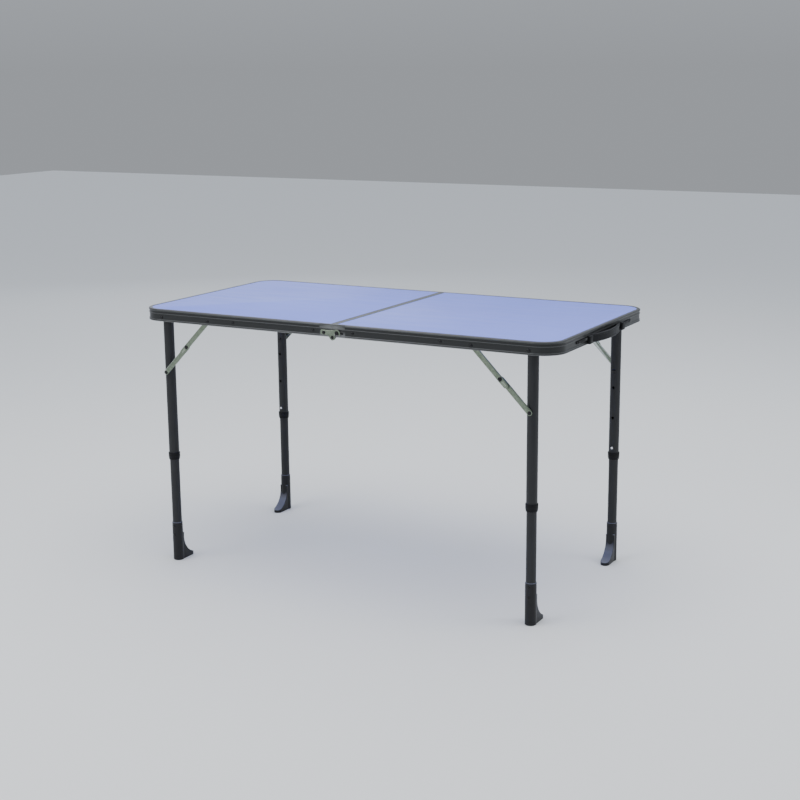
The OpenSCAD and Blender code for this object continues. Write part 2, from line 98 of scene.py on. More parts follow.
class Join(Enum):
    """How two solids are combined."""

    FUSE = "UNION"
    CUT = "DIFFERENCE"
    KEEP_COMMON = "INTERSECT"


def corner_code(half: Half, row: Row) -> str:
    """The two letters that start the names of a corner's nodes."""
    return half.word[0] + row.word[0]


# ---------------------------------------------------------------------------
# Sizes
# ---------------------------------------------------------------------------


@dataclass(frozen=True)
class Datum:
    """The table's main sizes in millimetres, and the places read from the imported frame."""

    seam_x: float
    end_x: float
    side_y: float
    top_z: float
    leg_x: float
    leg_y: float
    pivot_z: float
    rail_x: float
    skirt: float
    corner_r: float = 60.0
    lip: float = 9.5
    lip_t: float = 1.2
    board_t: float = 4.0
    seam_half: float = 0.4
    field_rise: float = 0.5
    channel: float = 13.0
    upper_r: float = 13.75
    bore_r: float = 12.65
    lower_r: float = 12.6
    lower_in: float = 11.5
    run: float = 0.3
    hook_t: float = 1.8

    @classmethod
    def from_frame(cls) -> "Datum":
        """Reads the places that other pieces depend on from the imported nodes.

        Returns:
            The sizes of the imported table.
        """
        rail_low, rail_high = (Vector(v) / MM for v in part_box("right_rail"))
        left_high = Vector(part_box("left_rail")[1]) / MM
        tube_low, tube_high = (Vector(v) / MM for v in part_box("rb_lower_tube"))
        pin_low, pin_high = (Vector(v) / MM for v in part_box("right_pivot_pins"))
        link_low = Vector(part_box("rb_upper_link")[0]) / MM
        seam = (rail_low.x + left_high.x) / 2
        return cls(
            seam_x=seam,
            end_x=rail_high.x - seam,
            side_y=rail_high.y,
            top_z=rail_high.z,
            leg_x=(tube_low.x + tube_high.x) / 2 - seam,
            leg_y=(tube_low.y + tube_high.y) / 2,
            pivot_z=(pin_low.z + pin_high.z) / 2,
            rail_x=link_low.x + 6.5 - seam,
            skirt=rail_high.z - rail_low.z,
        )

    @property
    def under_board(self) -> float:
        """Depth of the board's underside below the top."""
        return self.lip_t + self.board_t

    @property
    def ledge(self) -> float:
        """Depth of the rail's ledge below the top."""
        return self.under_board + 1.2

    @property
    def wall_out(self) -> float:
        """Y of the outer face of the rail's wall."""
        return self.side_y - 1.6

    @property
    def wall_in(self) -> float:
        """Y of the inner face of the rail's wall."""
        return self.side_y - 3.2

    @property
    def upper_link_y(self) -> tuple[float, float]:
        """Y of the upper links' inner and outer faces."""
        return self.wall_in - 3.9, self.wall_in - 2.3

    @property
    def lower_link_y(self) -> tuple[float, float]:
        """Y of the lower links' inner and outer faces."""
        return self.wall_in - 8.8, self.wall_in - 7.2

    @property
    def hook_out(self) -> float:
        """Y of the hooks' outer face."""
        return self.side_y + self.run + self.hook_t

    @property
    def fold_z(self) -> float:
        """Height of the axis on which the halves fold."""
        return self.top_z - self.skirt - 1.0

    @property
    def lock_z(self) -> float:
        """Height of the hooks and their studs."""
        return self.fold_z + 11.4

    def quarter(self, half: Half, row: Row = Row.BACK) -> Matrix:
        """The matrix that carries a shape drawn for the right back quarter to its own.

        Args:
            half: the half it goes to.
            row: the long side it goes to.

        Returns:
            A matrix in millimetres, which mirrors where it has to.
        """
        flip = Matrix.Diagonal((half.value, row.value, 1.0, 1.0))
        return Matrix.Translation((self.seam_x, 0.0, 0.0)) @ flip


# ---------------------------------------------------------------------------
# Mesh work
# ---------------------------------------------------------------------------

ALONG_Y = Matrix.Rotation(-math.pi / 2, 4, "X")
ALONG_X = Matrix.Rotation(math.pi / 2, 4, "Y")
# takes a flat outline drawn as (x, z) and stands it up, its thickness running to +Y
UPRIGHT = Matrix(((1, 0, 0, 0), (0, 0, 1, 0), (0, 1, 0, 0), (0, 0, 0, 1)))
# takes a section drawn as (y, z) and stands it up, its thickness running to +X
CROSSWISE = Matrix(((0, 0, 1, 0), (1, 0, 0, 0), (0, 1, 0, 0), (0, 0, 0, 1)))
# takes an outline drawn as (y, x) and lays it flat, its thickness running to +Z
LEVEL = Matrix(((0, 1, 0, 0), (1, 0, 0, 0), (0, 0, 1, 0), (0, 0, 0, 1)))


def verts_of(geom: Iterable[object]) -> list[bmesh.types.BMVert]:
    """The vertices among an operator's results."""
    return [g for g in geom if isinstance(g, bmesh.types.BMVert)]


def edges_of(geom: Iterable[object]) -> list[bmesh.types.BMEdge]:
    """The edges among an operator's results."""
    return [g for g in geom if isinstance(g, bmesh.types.BMEdge)]


class Blank:
    """A shape under work, in millimetres."""

    def __init__(self) -> None:
        """Starts with nothing."""
        self.bm = bmesh.new()

    # -- starting shapes ----------------------------------------------------

    @classmethod
    def plate(
        cls,
        outline: Sequence[Point],
        thickness: float,
        rounds: dict[int, float] | None = None,
        segments: int = 10,
    ) -> "Blank":
        """A flat outline with thickness, on the XY plane and rising along +Z.

        Args:
            outline: the corners in order.
            thickness: how far it rises.
            rounds: the radius for each corner that is rounded, by its index.
            segments: steps in each rounded corner.

        Returns:
            The closed plate.
        """
        blank = cls()
        bm = blank.bm
        corners = [bm.verts.new((x, y, 0.0)) for x, y in outline]
        bmesh.ops.contextual_create(bm, geom=corners)
        for index, radius in (rounds or {}).items():
            bmesh.ops.bevel(
                bm, geom=[corners[index]], offset=radius, offset_type="OFFSET",
                segments=segments, profile=0.5, affect="VERTICES", material=-1,
            )
        blank._rise(thickness)
        return blank

    @classmethod
    def disc(cls, radius: float, thickness: float, segments: int = 48) -> "Blank":
        """A round plate on the XY plane that rises along +Z."""
        blank = cls()
        bmesh.ops.create_circle(blank.bm, cap_ends=True, segments=segments, radius=radius)
        blank._rise(thickness)
        return blank

    @classmethod
    def block(cls, low: Sequence[float], high: Sequence[float]) -> "Blank":
        """A rectangular block between two corners."""
        blank = cls()
        bmesh.ops.create_cube(blank.bm, size=1.0)
        size = [h - l for l, h in zip(low, high)]
        mid = [(h + l) / 2 for l, h in zip(low, high)]
        return blank.place(Matrix.Translation(mid) @ Matrix.Diagonal((*size, 1.0)))

    @classmethod
    def turned(cls, profile: Sequence[Point], steps: int = 40, ring: bool = False) -> "Blank":
        """A shape turned about Z from a profile of (radius, height) points.

        Args:
            profile: the points in order.
            steps: faces around the turn.
            ring: whether the profile closes on itself, as a tube's wall does.

        Returns:
            The closed shape.
        """
        blank = cls()
        bm = blank.bm
        verts = [bm.verts.new((r, 0.0, h)) for r, h in profile]
        pairs = list(zip(verts, verts[1:])) + ([(verts[-1], verts[0])] if ring else [])
        edges = [bm.edges.new(pair) for pair in pairs]
        bmesh.ops.spin(
            bm, geom=verts + edges, cent=(0, 0, 0), axis=(0, 0, 1), dvec=(0, 0, 0),
            angle=math.tau, steps=steps, use_merge=True, use_duplicate=False,
        )
        bmesh.ops.remove_doubles(bm, verts=bm.verts[:], dist=1e-4)
        return blank.tidy()

    def _rise(self, thickness: float) -> None:
        """Extrudes the flat faces by the thickness and closes the shape."""
        grown = bmesh.ops.extrude_face_region(self.bm, geom=self.bm.faces[:])["geom"]
        bmesh.ops.translate(self.bm, verts=verts_of(grown), vec=(0.0, 0.0, thickness))
        self.tidy()

    # -- shaping ------------------------------------------------------------

    def tidy(self) -> "Blank":
        """Points every face outwards."""
        bmesh.ops.recalc_face_normals(self.bm, faces=self.bm.faces[:])
        return self

    def place(self, matrix: Matrix) -> "Blank":
        """Moves the whole shape, and turns its faces back out if it was mirrored."""
        bmesh.ops.transform(self.bm, matrix=matrix, verts=self.bm.verts[:])
        if matrix.determinant() < 0:
            bmesh.ops.reverse_faces(self.bm, faces=self.bm.faces[:])
        return self

    def ease(self, width: float, segments: int = 2, angle: float = 30.0) -> "Blank":
        """Rounds the edges that turn by more than the angle, in degrees."""
        limit = math.radians(angle)
        sharp = [
            e for e in self.bm.edges
            if len(e.link_faces) == 2 and e.calc_face_angle(0.0) > limit
        ]
        if sharp:
            bmesh.ops.bevel(
                self.bm, geom=sharp, offset=width, offset_type="OFFSET", segments=segments,
                profile=0.5, affect="EDGES", material=-1, clamp_overlap=True,
            )
        return self

    def trim(self, point: Sequence[float], normal: Sequence[float]) -> "Blank":
        """Cuts away what lies on the normal's side of a plane, and closes the cut."""
        geom = self.bm.verts[:] + self.bm.edges[:] + self.bm.faces[:]
        cut = bmesh.ops.bisect_plane(
            self.bm, geom=geom, dist=1e-5, plane_co=point, plane_no=normal, clear_outer=True
        )
        bmesh.ops.holes_fill(self.bm, edges=edges_of(cut["geom_cut"]), sides=0)
        return self.tidy()

    def copy(self) -> "Blank":
        """Another blank of the same shape."""
        twin = Blank()
        twin.bm = self.bm.copy()
        return twin

    def add(self, other: "Blank") -> "Blank":
        """Takes another shape in beside this one, as a separate shell."""
        mesh = bpy.data.meshes.new("passing")
        other.bm.to_mesh(mesh)
        other.bm.free()
        self.bm.from_mesh(mesh)
        bpy.data.meshes.remove(mesh)
        return self

    def combine(self, other: "Blank", how: Join) -> "Blank":
        """Fuses with, or cuts by, another solid.

        Args:
            other: the second solid, which is used up.
            how: what to do with it.

        Returns:
            This shape, changed.
        """
        stock, tool = _loose(self, "stock"), _loose(other, "tool")
        step = stock.modifiers.new("join", "BOOLEAN")
        step.operation, step.object, step.solver = how.value, tool, "EXACT"
        graph = bpy.context.evaluated_depsgraph_get()
        result = stock.evaluated_get(graph).to_mesh()
        self.bm = bmesh.new()
        self.bm.from_mesh(result)
        bmesh.ops.remove_doubles(self.bm, verts=self.bm.verts[:], dist=1e-3)
        _drop(stock, tool)
        return self

    def melt(self, voxel: float, passes: int) -> "Blank":
        """Runs the shells together as one moulding, with soft edges and fillets.

        Args:
            voxel: the size of the detail that is kept.
            passes: how often the surface is smoothed.

        Returns:
            This shape, changed.
        """
        stock = _loose(self, "stock")
        step = stock.modifiers.new("melt", "REMESH")
        step.mode, step.voxel_size = "VOXEL", voxel
        soft = stock.modifiers.new("soft", "SMOOTH")
        soft.factor, soft.iterations = 0.5, passes
        graph = bpy.context.evaluated_depsgraph_get()
        result = stock.evaluated_get(graph).to_mesh()
        self.bm = bmesh.new()
        self.bm.from_mesh(result)
        _drop(stock)
        return self


def _loose(blank: Blank, name: str) -> bpy.types.Object:
    """Makes a passing object of a blank, which is used up."""
    mesh = bpy.data.meshes.new(name)
    blank.bm.to_mesh(mesh)
    blank.bm.free()
    thing = bpy.data.objects.new(name, mesh)
    bpy.context.scene.collection.objects.link(thing)
    return thing


def _drop(*things: bpy.types.Object) -> None:
    """Removes passing objects and their meshes."""
    for thing in things:
        mesh = thing.data
        bpy.data.objects.remove(thing)
        bpy.data.meshes.remove(mesh)


def fit_out(
    blank: Blank,
    name: str,
    body: str,
    finish: "Finish",
    nodes: Iterable[str],
    smooth: float = 32.0,
) -> bpy.types.Object:
    """Makes the finished piece of a blank and gives it to its body.

    Args:
        blank: the shape in millimetres, which is used up.
        name: the piece's name.
        body: the body that carries it.
        finish: the surface it wears.
        nodes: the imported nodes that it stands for.
        smooth: faces that meet at less than this many degrees are shaded as one.

    Returns:
        The piece's object, at the origin.
    """
    blank.place(Matrix.Diagonal((MM, MM, MM, 1.0)))
    limit = math.radians(smooth)
    for face in blank.bm.faces:
        face.smooth = True
    for edge in blank.bm.edges:
        edge.smooth = len(edge.link_faces) == 2 and edge.calc_face_angle(0.0) < limit
    mesh = bpy.data.meshes.new(name)
    blank.bm.to_mesh(mesh)
    blank.bm.free()
    mesh.materials.append(finish.material())
    piece = bpy.data.objects.new(name, mesh)
    bpy.context.scene.collection.objects.link(piece)
    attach(piece, body)
    for node in nodes:
        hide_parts(node)
    LOG.info("%s: %d faces on %s", name, len(mesh.polygons), body)
    return piece


# ---------------------------------------------------------------------------
# Finishes
# ---------------------------------------------------------------------------


class Bench:
    """A material's node tree, with short ways to add what the finishes share."""

    def __init__(self, name: str) -> None:
        """Starts a material with a bare shader."""
        self.material = bpy.data.materials.new(name)
        self.material.use_nodes = True
        self.nodes = self.material.node_tree.nodes
        self.links = self.material.node_tree.links
        self.shader = self.nodes["Principled BSDF"]
        coords = self.nodes.new("ShaderNodeTexCoord")
        self.place = coords.outputs["Object"]

    def set(self, **sockets: float | Rgb) -> None:
        """Sets the shader's own sockets, with underscores for spaces."""
        for key, value in sockets.items():
            socket = self.shader.inputs[key.replace("_", " ")]
            socket.default_value = (*value, 1.0) if isinstance(value, tuple) else value

    def stretched(self, scale: Sequence[float]) -> bpy.types.NodeSocket:
        """Object coordinates stretched along the axes."""
        node = self.nodes.new("ShaderNodeMapping")
        node.inputs["Scale"].default_value = scale
        self.links.new(self.place, node.inputs["Vector"])
        return node.outputs["Vector"]

    def noise(
        self, scale: float, detail: float = 3.0, rough: float = 0.5,
        vector: bpy.types.NodeSocket | None = None,
    ) -> bpy.types.NodeSocket:
        """A noise value at a scale per metre."""
        node = self.nodes.new("ShaderNodeTexNoise")
        node.inputs["Scale"].default_value = scale
        node.inputs["Detail"].default_value = detail
        node.inputs["Roughness"].default_value = rough
        self.links.new(vector or self.place, node.inputs["Vector"])
        return node.outputs["Fac"]

    def cells(self, scale: float) -> bpy.types.NodeSocket:
        """A random grey for each crystal of a plated surface."""
        node = self.nodes.new("ShaderNodeTexVoronoi")
        node.inputs["Scale"].default_value = scale
        self.links.new(self.place, node.inputs["Vector"])
        grey = self.nodes.new("ShaderNodeRGBToBW")
        self.links.new(node.outputs["Color"], grey.inputs["Color"])
        return grey.outputs["Val"]

    def spread(
        self, value: bpy.types.NodeSocket, low: float, high: float,
        start: float = 0.3, end: float = 0.7,
    ) -> bpy.types.NodeSocket:
        """Maps a value from one range to another, and holds it there."""
        node = self.nodes.new("ShaderNodeMapRange")
        for key, number in (
            ("From Min", start), ("From Max", end), ("To Min", low), ("To Max", high)
        ):
            node.inputs[key].default_value = number
        self.links.new(value, node.inputs["Value"])
        return node.outputs["Result"]

    def blend(
        self, share: bpy.types.NodeSocket, first: Rgb | bpy.types.NodeSocket,
        second: Rgb | bpy.types.NodeSocket,
    ) -> bpy.types.NodeSocket:
        """Mixes two colours by a share."""
        node = self.nodes.new("ShaderNodeMix")
        node.data_type = "RGBA"
        self.links.new(share, node.inputs["Factor"])
        for key, colour in ((6, first), (7, second)):
            if isinstance(colour, tuple):
                node.inputs[key].default_value = (*colour, 1.0)
            else:
                self.links.new(colour, node.inputs[key])
        return node.outputs[2]

    def average(
        self, share: float, first: bpy.types.NodeSocket, second: bpy.types.NodeSocket
    ) -> bpy.types.NodeSocket:
        """Mixes two values by a fixed share of the second."""
        node = self.nodes.new("ShaderNodeMix")
        node.data_type = "FLOAT"
        node.inputs["Factor"].default_value = share
        self.links.new(first, node.inputs[2])
        self.links.new(second, node.inputs[3])
        return node.outputs[0]

    def edges(self) -> bpy.types.NodeSocket:
        """High on outer edges and low in hollows."""
        node = self.nodes.new("ShaderNodeNewGeometry")
        return node.outputs["Pointiness"]

    def upward(self) -> bpy.types.NodeSocket:
        """How far the piece's own surface faces up, from -1 to 1."""
        axes = self.nodes.new("ShaderNodeSeparateXYZ")
        coords = self.nodes.new("ShaderNodeTexCoord")
        self.links.new(coords.outputs["Normal"], axes.inputs["Vector"])
        return axes.outputs["Z"]

    def relief(self, height: bpy.types.NodeSocket, depth: float, strength: float) -> None:
        """Puts a fine relief on the surface, its depth in metres."""
        node = self.nodes.new("ShaderNodeBump")
        node.inputs["Strength"].default_value = strength
        node.inputs["Distance"].default_value = depth
        self.links.new(height, node.inputs["Height"])
        self.links.new(node.outputs["Normal"], self.shader.inputs["Normal"])

    def feed(self, socket: str, value: bpy.types.NodeSocket) -> None:
        """Links a value or a colour to one of the shader's sockets."""
        self.links.new(value, self.shader.inputs[socket])


@dataclass(frozen=True)
class Finish:
    """A surface, and the record's slot that it belongs to."""

    slot: str
    name: str

    def material(self) -> bpy.types.Material:
        """The finish's material, made on first use."""
        made = bpy.data.materials.get(self.name)
        return made or self.mix(Bench(self.name))

    def mix(self, bench: Bench) -> bpy.types.Material:
        """Builds the nodes; each finish has its own."""
        raise NotImplementedError


@dataclass(frozen=True)
class Laminate(Finish):
    """Satin blue-grey laminate with a fine pebbled press texture."""

    # Both tones are a deepened blue: partly the laminate's own colour, partly a painted reflection
    # of blue sky.
    pale: Rgb = (0.205, 0.262, 0.800)
    deep: Rgb = (0.180, 0.232, 0.745)
    gloss: float = 0.40

    def mix(self, bench: Bench) -> bpy.types.Material:
        """Clouds the colour a little and adds the pebble and fine dust."""
        clouds = bench.noise(5.0, 4.0)
        dust = bench.noise(900.0, 2.0, 0.7)
        tone = bench.average(0.35, clouds, dust)
        bench.feed("Base Color", bench.blend(bench.spread(tone, 0, 1), self.deep, self.pale))
        wipe = bench.noise(1.0, 4.0, 0.6, bench.stretched((6.0, 40.0, 6.0)))
        bench.feed("Roughness", bench.spread(wipe, self.gloss - 0.04, self.gloss + 0.06))
        bench.relief(bench.average(0.5, bench.noise(1400.0, 2.0), dust), 0.00005, 0.35)
        # The blue specular tint gives the laminate's reflections a painted sky-blue cast.
        bench.set(Specular_IOR_Level=0.22, Specular_Tint=(0.50, 0.62, 1.0))
        return bench.material


@dataclass(frozen=True)
class DarkExtrusion(Finish):
    """Anthracite anodised aluminium with draw lines, and paler edges that are partly wear and
    partly painted highlight.
    """

    body: Rgb = (0.016, 0.017, 0.017)
    drawn: Rgb = (0.030, 0.031, 0.031)
    # paler edge tone: partly wear, partly a painted highlight on the rail's ribs and lip
    rubbed: Rgb = (0.165, 0.168, 0.170)

    def mix(self, bench: Bench) -> bpy.types.Material:
        """Draws fine lines along both rail directions and brightens the edges, partly as wear and
        partly as painted highlight lines.
        """
        along = bench.noise(1.0, 3.0, 0.6, bench.stretched((6.0, 900.0, 900.0)))
        across = bench.noise(1.0, 3.0, 0.6, bench.stretched((900.0, 6.0, 900.0)))
        lines = bench.average(0.5, along, across)
        # edge mask from pointiness: lightens the ribs and lip, partly as wear and partly as painted
        # highlight
        edge_mask = bench.spread(bench.edges(), 0.0, 0.9, 0.525, 0.60)
        base = bench.blend(bench.spread(lines, 0, 0.35), self.body, self.drawn)
        bench.feed("Base Color", bench.blend(edge_mask, base, self.rubbed))
        bench.feed("Roughness", bench.spread(lines, 0.26, 0.38))
        bench.relief(lines, 0.00002, 0.3)
        bench.set(Metallic=0.2, Specular_IOR_Level=0.38)
        return bench.material


@dataclass(frozen=True)
class PowderCoat(Finish):
    """Charcoal powder coat with its fine orange peel."""

    body: Rgb = (0.011, 0.0113, 0.0125)
    dusty: Rgb = (0.019, 0.0194, 0.0215)

    def mix(self, bench: Bench) -> bpy.types.Material:
        """Adds peel, a little dust and duller streaks down the tube."""
        peel = bench.noise(1100.0, 2.0, 0.55)
        dust = bench.noise(30.0, 5.0, 0.65)
        streak = bench.noise(1.0, 3.0, 0.6, bench.stretched((260.0, 260.0, 9.0)))
        shade = bench.average(0.5, dust, streak)
        bench.feed("Base Color", bench.blend(bench.spread(shade, 0, 1), self.body, self.dusty))
        bench.feed("Roughness", bench.spread(shade, 0.36, 0.50))
        bench.relief(peel, 0.00006, 0.35)
        bench.set(Metallic=0.15, Specular_IOR_Level=0.36)
        return bench.material


@dataclass(frozen=True)
class Moulding(Finish):
    """Black moulded plastic with a fine spark grain."""

    body: Rgb = (0.005, 0.005, 0.006)
    scuffed: Rgb = (0.020, 0.020, 0.022)
    gloss: float = 0.38
    shine: float = 0.12
    # second tone, where given: a painted sky sheen laid on upward-facing surfaces
    dusty: Rgb | None = None

    def mix(self, bench: Bench) -> bpy.types.Material:
        """Grain all over, with paler scuffs on the edges and, where a second tone is given, a
        painted blue-grey sky sheen on what faces up.
        """
        grain = bench.noise(1600.0, 2.0, 0.6)
        patch = bench.noise(60.0, 5.0, 0.7)
        scuff = bench.spread(bench.edges(), 0.0, 0.6, 0.52, 0.62)
        base = bench.blend(bench.spread(patch, 0, 0.3), self.body, self.scuffed)
        base = bench.blend(scuff, base, self.scuffed)
        # painted sheen: faces that point up are lightened towards the blue-grey second tone
        if self.dusty:
            base = bench.blend(bench.spread(bench.upward(), 0.0, 0.9, 0.15, 0.6), base, self.dusty)
        bench.feed("Base Color", base)
        bench.feed("Roughness", bench.spread(patch, self.gloss - 0.05, self.gloss + 0.1))
        bench.relief(grain, 0.00008, 0.4)
        bench.set(Specular_IOR_Level=self.shine)
        return bench.material


@dataclass(frozen=True)
class ZincPlate(Finish):
    """Bright zinc plating on pressed steel, faintly spangled."""

    # The green cast of both tones is partly the plating's own tint and partly a painted reflection
    # of green surroundings.
    bright: Rgb = (0.215, 0.255, 0.195)
    dull: Rgb = (0.120, 0.148, 0.108)
    # paler edge tone: a painted highlight along the flange edges, partly wear
    rubbed: Rgb = (0.680, 0.720, 0.660)

    def mix(self, bench: Bench) -> bpy.types.Material:
        """Spangles, rolling lines, duller patches, and paler edges that are partly wear and partly
        painted highlight.
        """
        spangle = bench.cells(420.0)
        patch = bench.noise(90.0, 5.0, 0.65)
        tone = bench.average(0.6, spangle, patch)
        base = bench.blend(bench.spread(tone, 0, 1), self.dull, self.bright)
        # edge mask: brightens the flange edges, partly as painted highlight and partly as wear
        edge_mask = bench.spread(bench.edges(), 0.0, 0.9, 0.545, 0.62)
        bench.feed("Base Color", bench.blend(edge_mask, base, self.rubbed))
        bench.feed("Roughness", bench.spread(tone, 0.46, 0.30))
        bench.relief(bench.noise(700.0, 3.0, 0.7), 0.00003, 0.3)
        bench.set(Metallic=0.65)
        return bench.material


@dataclass(frozen=True)
class BlackRivet(Finish):
    """Black coated steel, scuffed paler where it is proud."""

    body: Rgb = (0.004, 0.004, 0.005)
    rubbed: Rgb = (0.030, 0.030, 0.032)

    def mix(self, bench: Bench) -> bpy.types.Material:
        """A satin black with edges scuffed grey."""
        patch = bench.noise(500.0, 4.0, 0.6)
        edge_mask = bench.spread(bench.edges(), 0.0, 0.2, 0.66, 0.80)
        base = bench.blend(bench.spread(patch, 0, 0.1), self.body, self.rubbed)
        bench.feed("Base Color", bench.blend(edge_mask, base, self.rubbed))
        bench.feed("Roughness", bench.spread(patch, 0.14, 0.24))
        bench.relief(patch, 0.00002, 0.25)
        bench.set(Specular_IOR_Level=0.28)
        return bench.material


@dataclass(frozen=True)
class Chrome(Finish):
    """Polished plating with hairline scratches."""

    body: Rgb = (0.78, 0.79, 0.80)

    def mix(self, bench: Bench) -> bpy.types.Material:
        """Almost a mirror, dulled a little by handling."""
        touch = bench.noise(300.0, 4.0, 0.7)
        bench.feed(
            "Base Color", bench.blend(bench.spread(touch, 0, 1), (0.66, 0.67, 0.68), self.body)
        )
        bench.feed("Roughness", bench.spread(touch, 0.08, 0.2))
        bench.relief(touch, 0.00001, 0.2)
        bench.set(Metallic=1.0)
        return bench.material


@dataclass(frozen=True)
class MillAluminium(Finish):
    """Bare aluminium strip as it comes from the mill."""

    bright: Rgb = (0.60, 0.61, 0.63)
    dull: Rgb = (0.44, 0.45, 0.47)

    def mix(self, bench: Bench) -> bpy.types.Material:
        """Rolling lines across the table and faint oxide clouds."""
        lines = bench.noise(1.0, 3.0, 0.6, bench.stretched((900.0, 8.0, 900.0)))
        cloud = bench.noise(25.0, 4.0, 0.6)
        tone = bench.average(0.5, lines, cloud)
        bench.feed("Base Color", bench.blend(bench.spread(tone, 0, 1), self.dull, self.bright))
        bench.feed("Roughness", bench.spread(tone, 0.48, 0.36))
        bench.relief(lines, 0.00002, 0.3)
        bench.set(Metallic=0.9)
        return bench.material


@dataclass(frozen=True)
class PaleFloor(Finish):
    """The plain floor under the table."""

    body: Rgb = (0.78, 0.78, 0.77)

    def mix(self, bench: Bench) -> bpy.types.Material:
        """A plain matt surface."""
        bench.set(Base_Color=self.body, Roughness=0.85)
        return bench.material


LAMINATE = Laminate("laminate", "satin laminate")
RAIL = DarkExtrusion("frame_anthracite", "anthracite rail")
COAT = PowderCoat("tube_charcoal", "charcoal powder coat")
PLASTIC = Moulding("black_plastic", "black moulding")
# The boot's blue-grey second tone is a painted sky sheen on its upward-facing surfaces.
BOOT = Moulding("black_plastic", "boot moulding", shine=0.3, dusty=(0.110, 0.118, 0.165))
GRIP = Moulding("handle_plastic", "handle moulding", gloss=0.42)
ZINC = ZincPlate("zinc", "bright zinc")
RIVET = BlackRivet("rivet_black", "black rivet")
BUTTON = Chrome("chrome_button", "button chrome")
STRIP = MillAluminium("mill_aluminium", "mill aluminium")


# ---------------------------------------------------------------------------
# Fasteners
# ---------------------------------------------------------------------------


@dataclass(frozen=True)
class Rivet:
    """A turned fastener that lies along Y; places are measured outwards along Y."""

    shank_r: float
    tail_y: float
    tail_r: float
    tail_t: float
    seat_y: float
    head_r: float
    head_t: float
    dimple_r: float = 0.8

    def blank(self, x: float, z: float) -> Blank:
        """The rivet at a place in the right back quarter.

        Args:
            x: distance from the seam.
            z: height above the floor.

        Returns:
            Its closed shape.
        """
        top = self.seat_y + self.head_t
        profile: list[Point] = [(0.0, self.tail_y)]
        if self.tail_t > 0:
            profile += [
                (self.tail_r - 0.4, self.tail_y), (self.tail_r, self.tail_y + 0.35),
                (self.tail_r, self.tail_y + self.tail_t),
                (self.shank_r, self.tail_y + self.tail_t),
            ]
        else:
            profile += [(self.shank_r, self.tail_y)]
        profile += [
            (self.shank_r, self.seat_y), (self.head_r, self.seat_y),
            (self.head_r, self.seat_y + 0.22 * self.head_t),
            (self.head_r * 0.93, self.seat_y + 0.50 * self.head_t),
            (self.head_r * 0.78, self.seat_y + 0.76 * self.head_t),
            (self.head_r * 0.56, self.seat_y + 0.94 * self.head_t),
            (self.dimple_r + 0.25, top), (self.dimple_r, top - 0.12),
            (self.dimple_r * 0.8, top - 0.45), (0.0, top - 0.5),
        ]
        blank = Blank.turned(profile, 28)
        return blank.place(Matrix.Translation((x, 0.0, z)) @ ALONG_Y)


def washer(x: float, z: float, inner: float, outer: float, y0: float, y1: float) -> Blank:
    """A ring that lies along Y between two places, with broken corners."""
    c = min(0.3, (y1 - y0) / 4)
    ring = [
        (inner, y0), (outer - c, y0), (outer, y0 + c), (outer, y1 - c), (outer - c, y1),
        (inner, y1),
    ]
    return Blank.turned(ring, 36, ring=True).place(Matrix.Translation((x, 0.0, z)) @ ALONG_Y)


# ---------------------------------------------------------------------------
# Table top
# ---------------------------------------------------------------------------


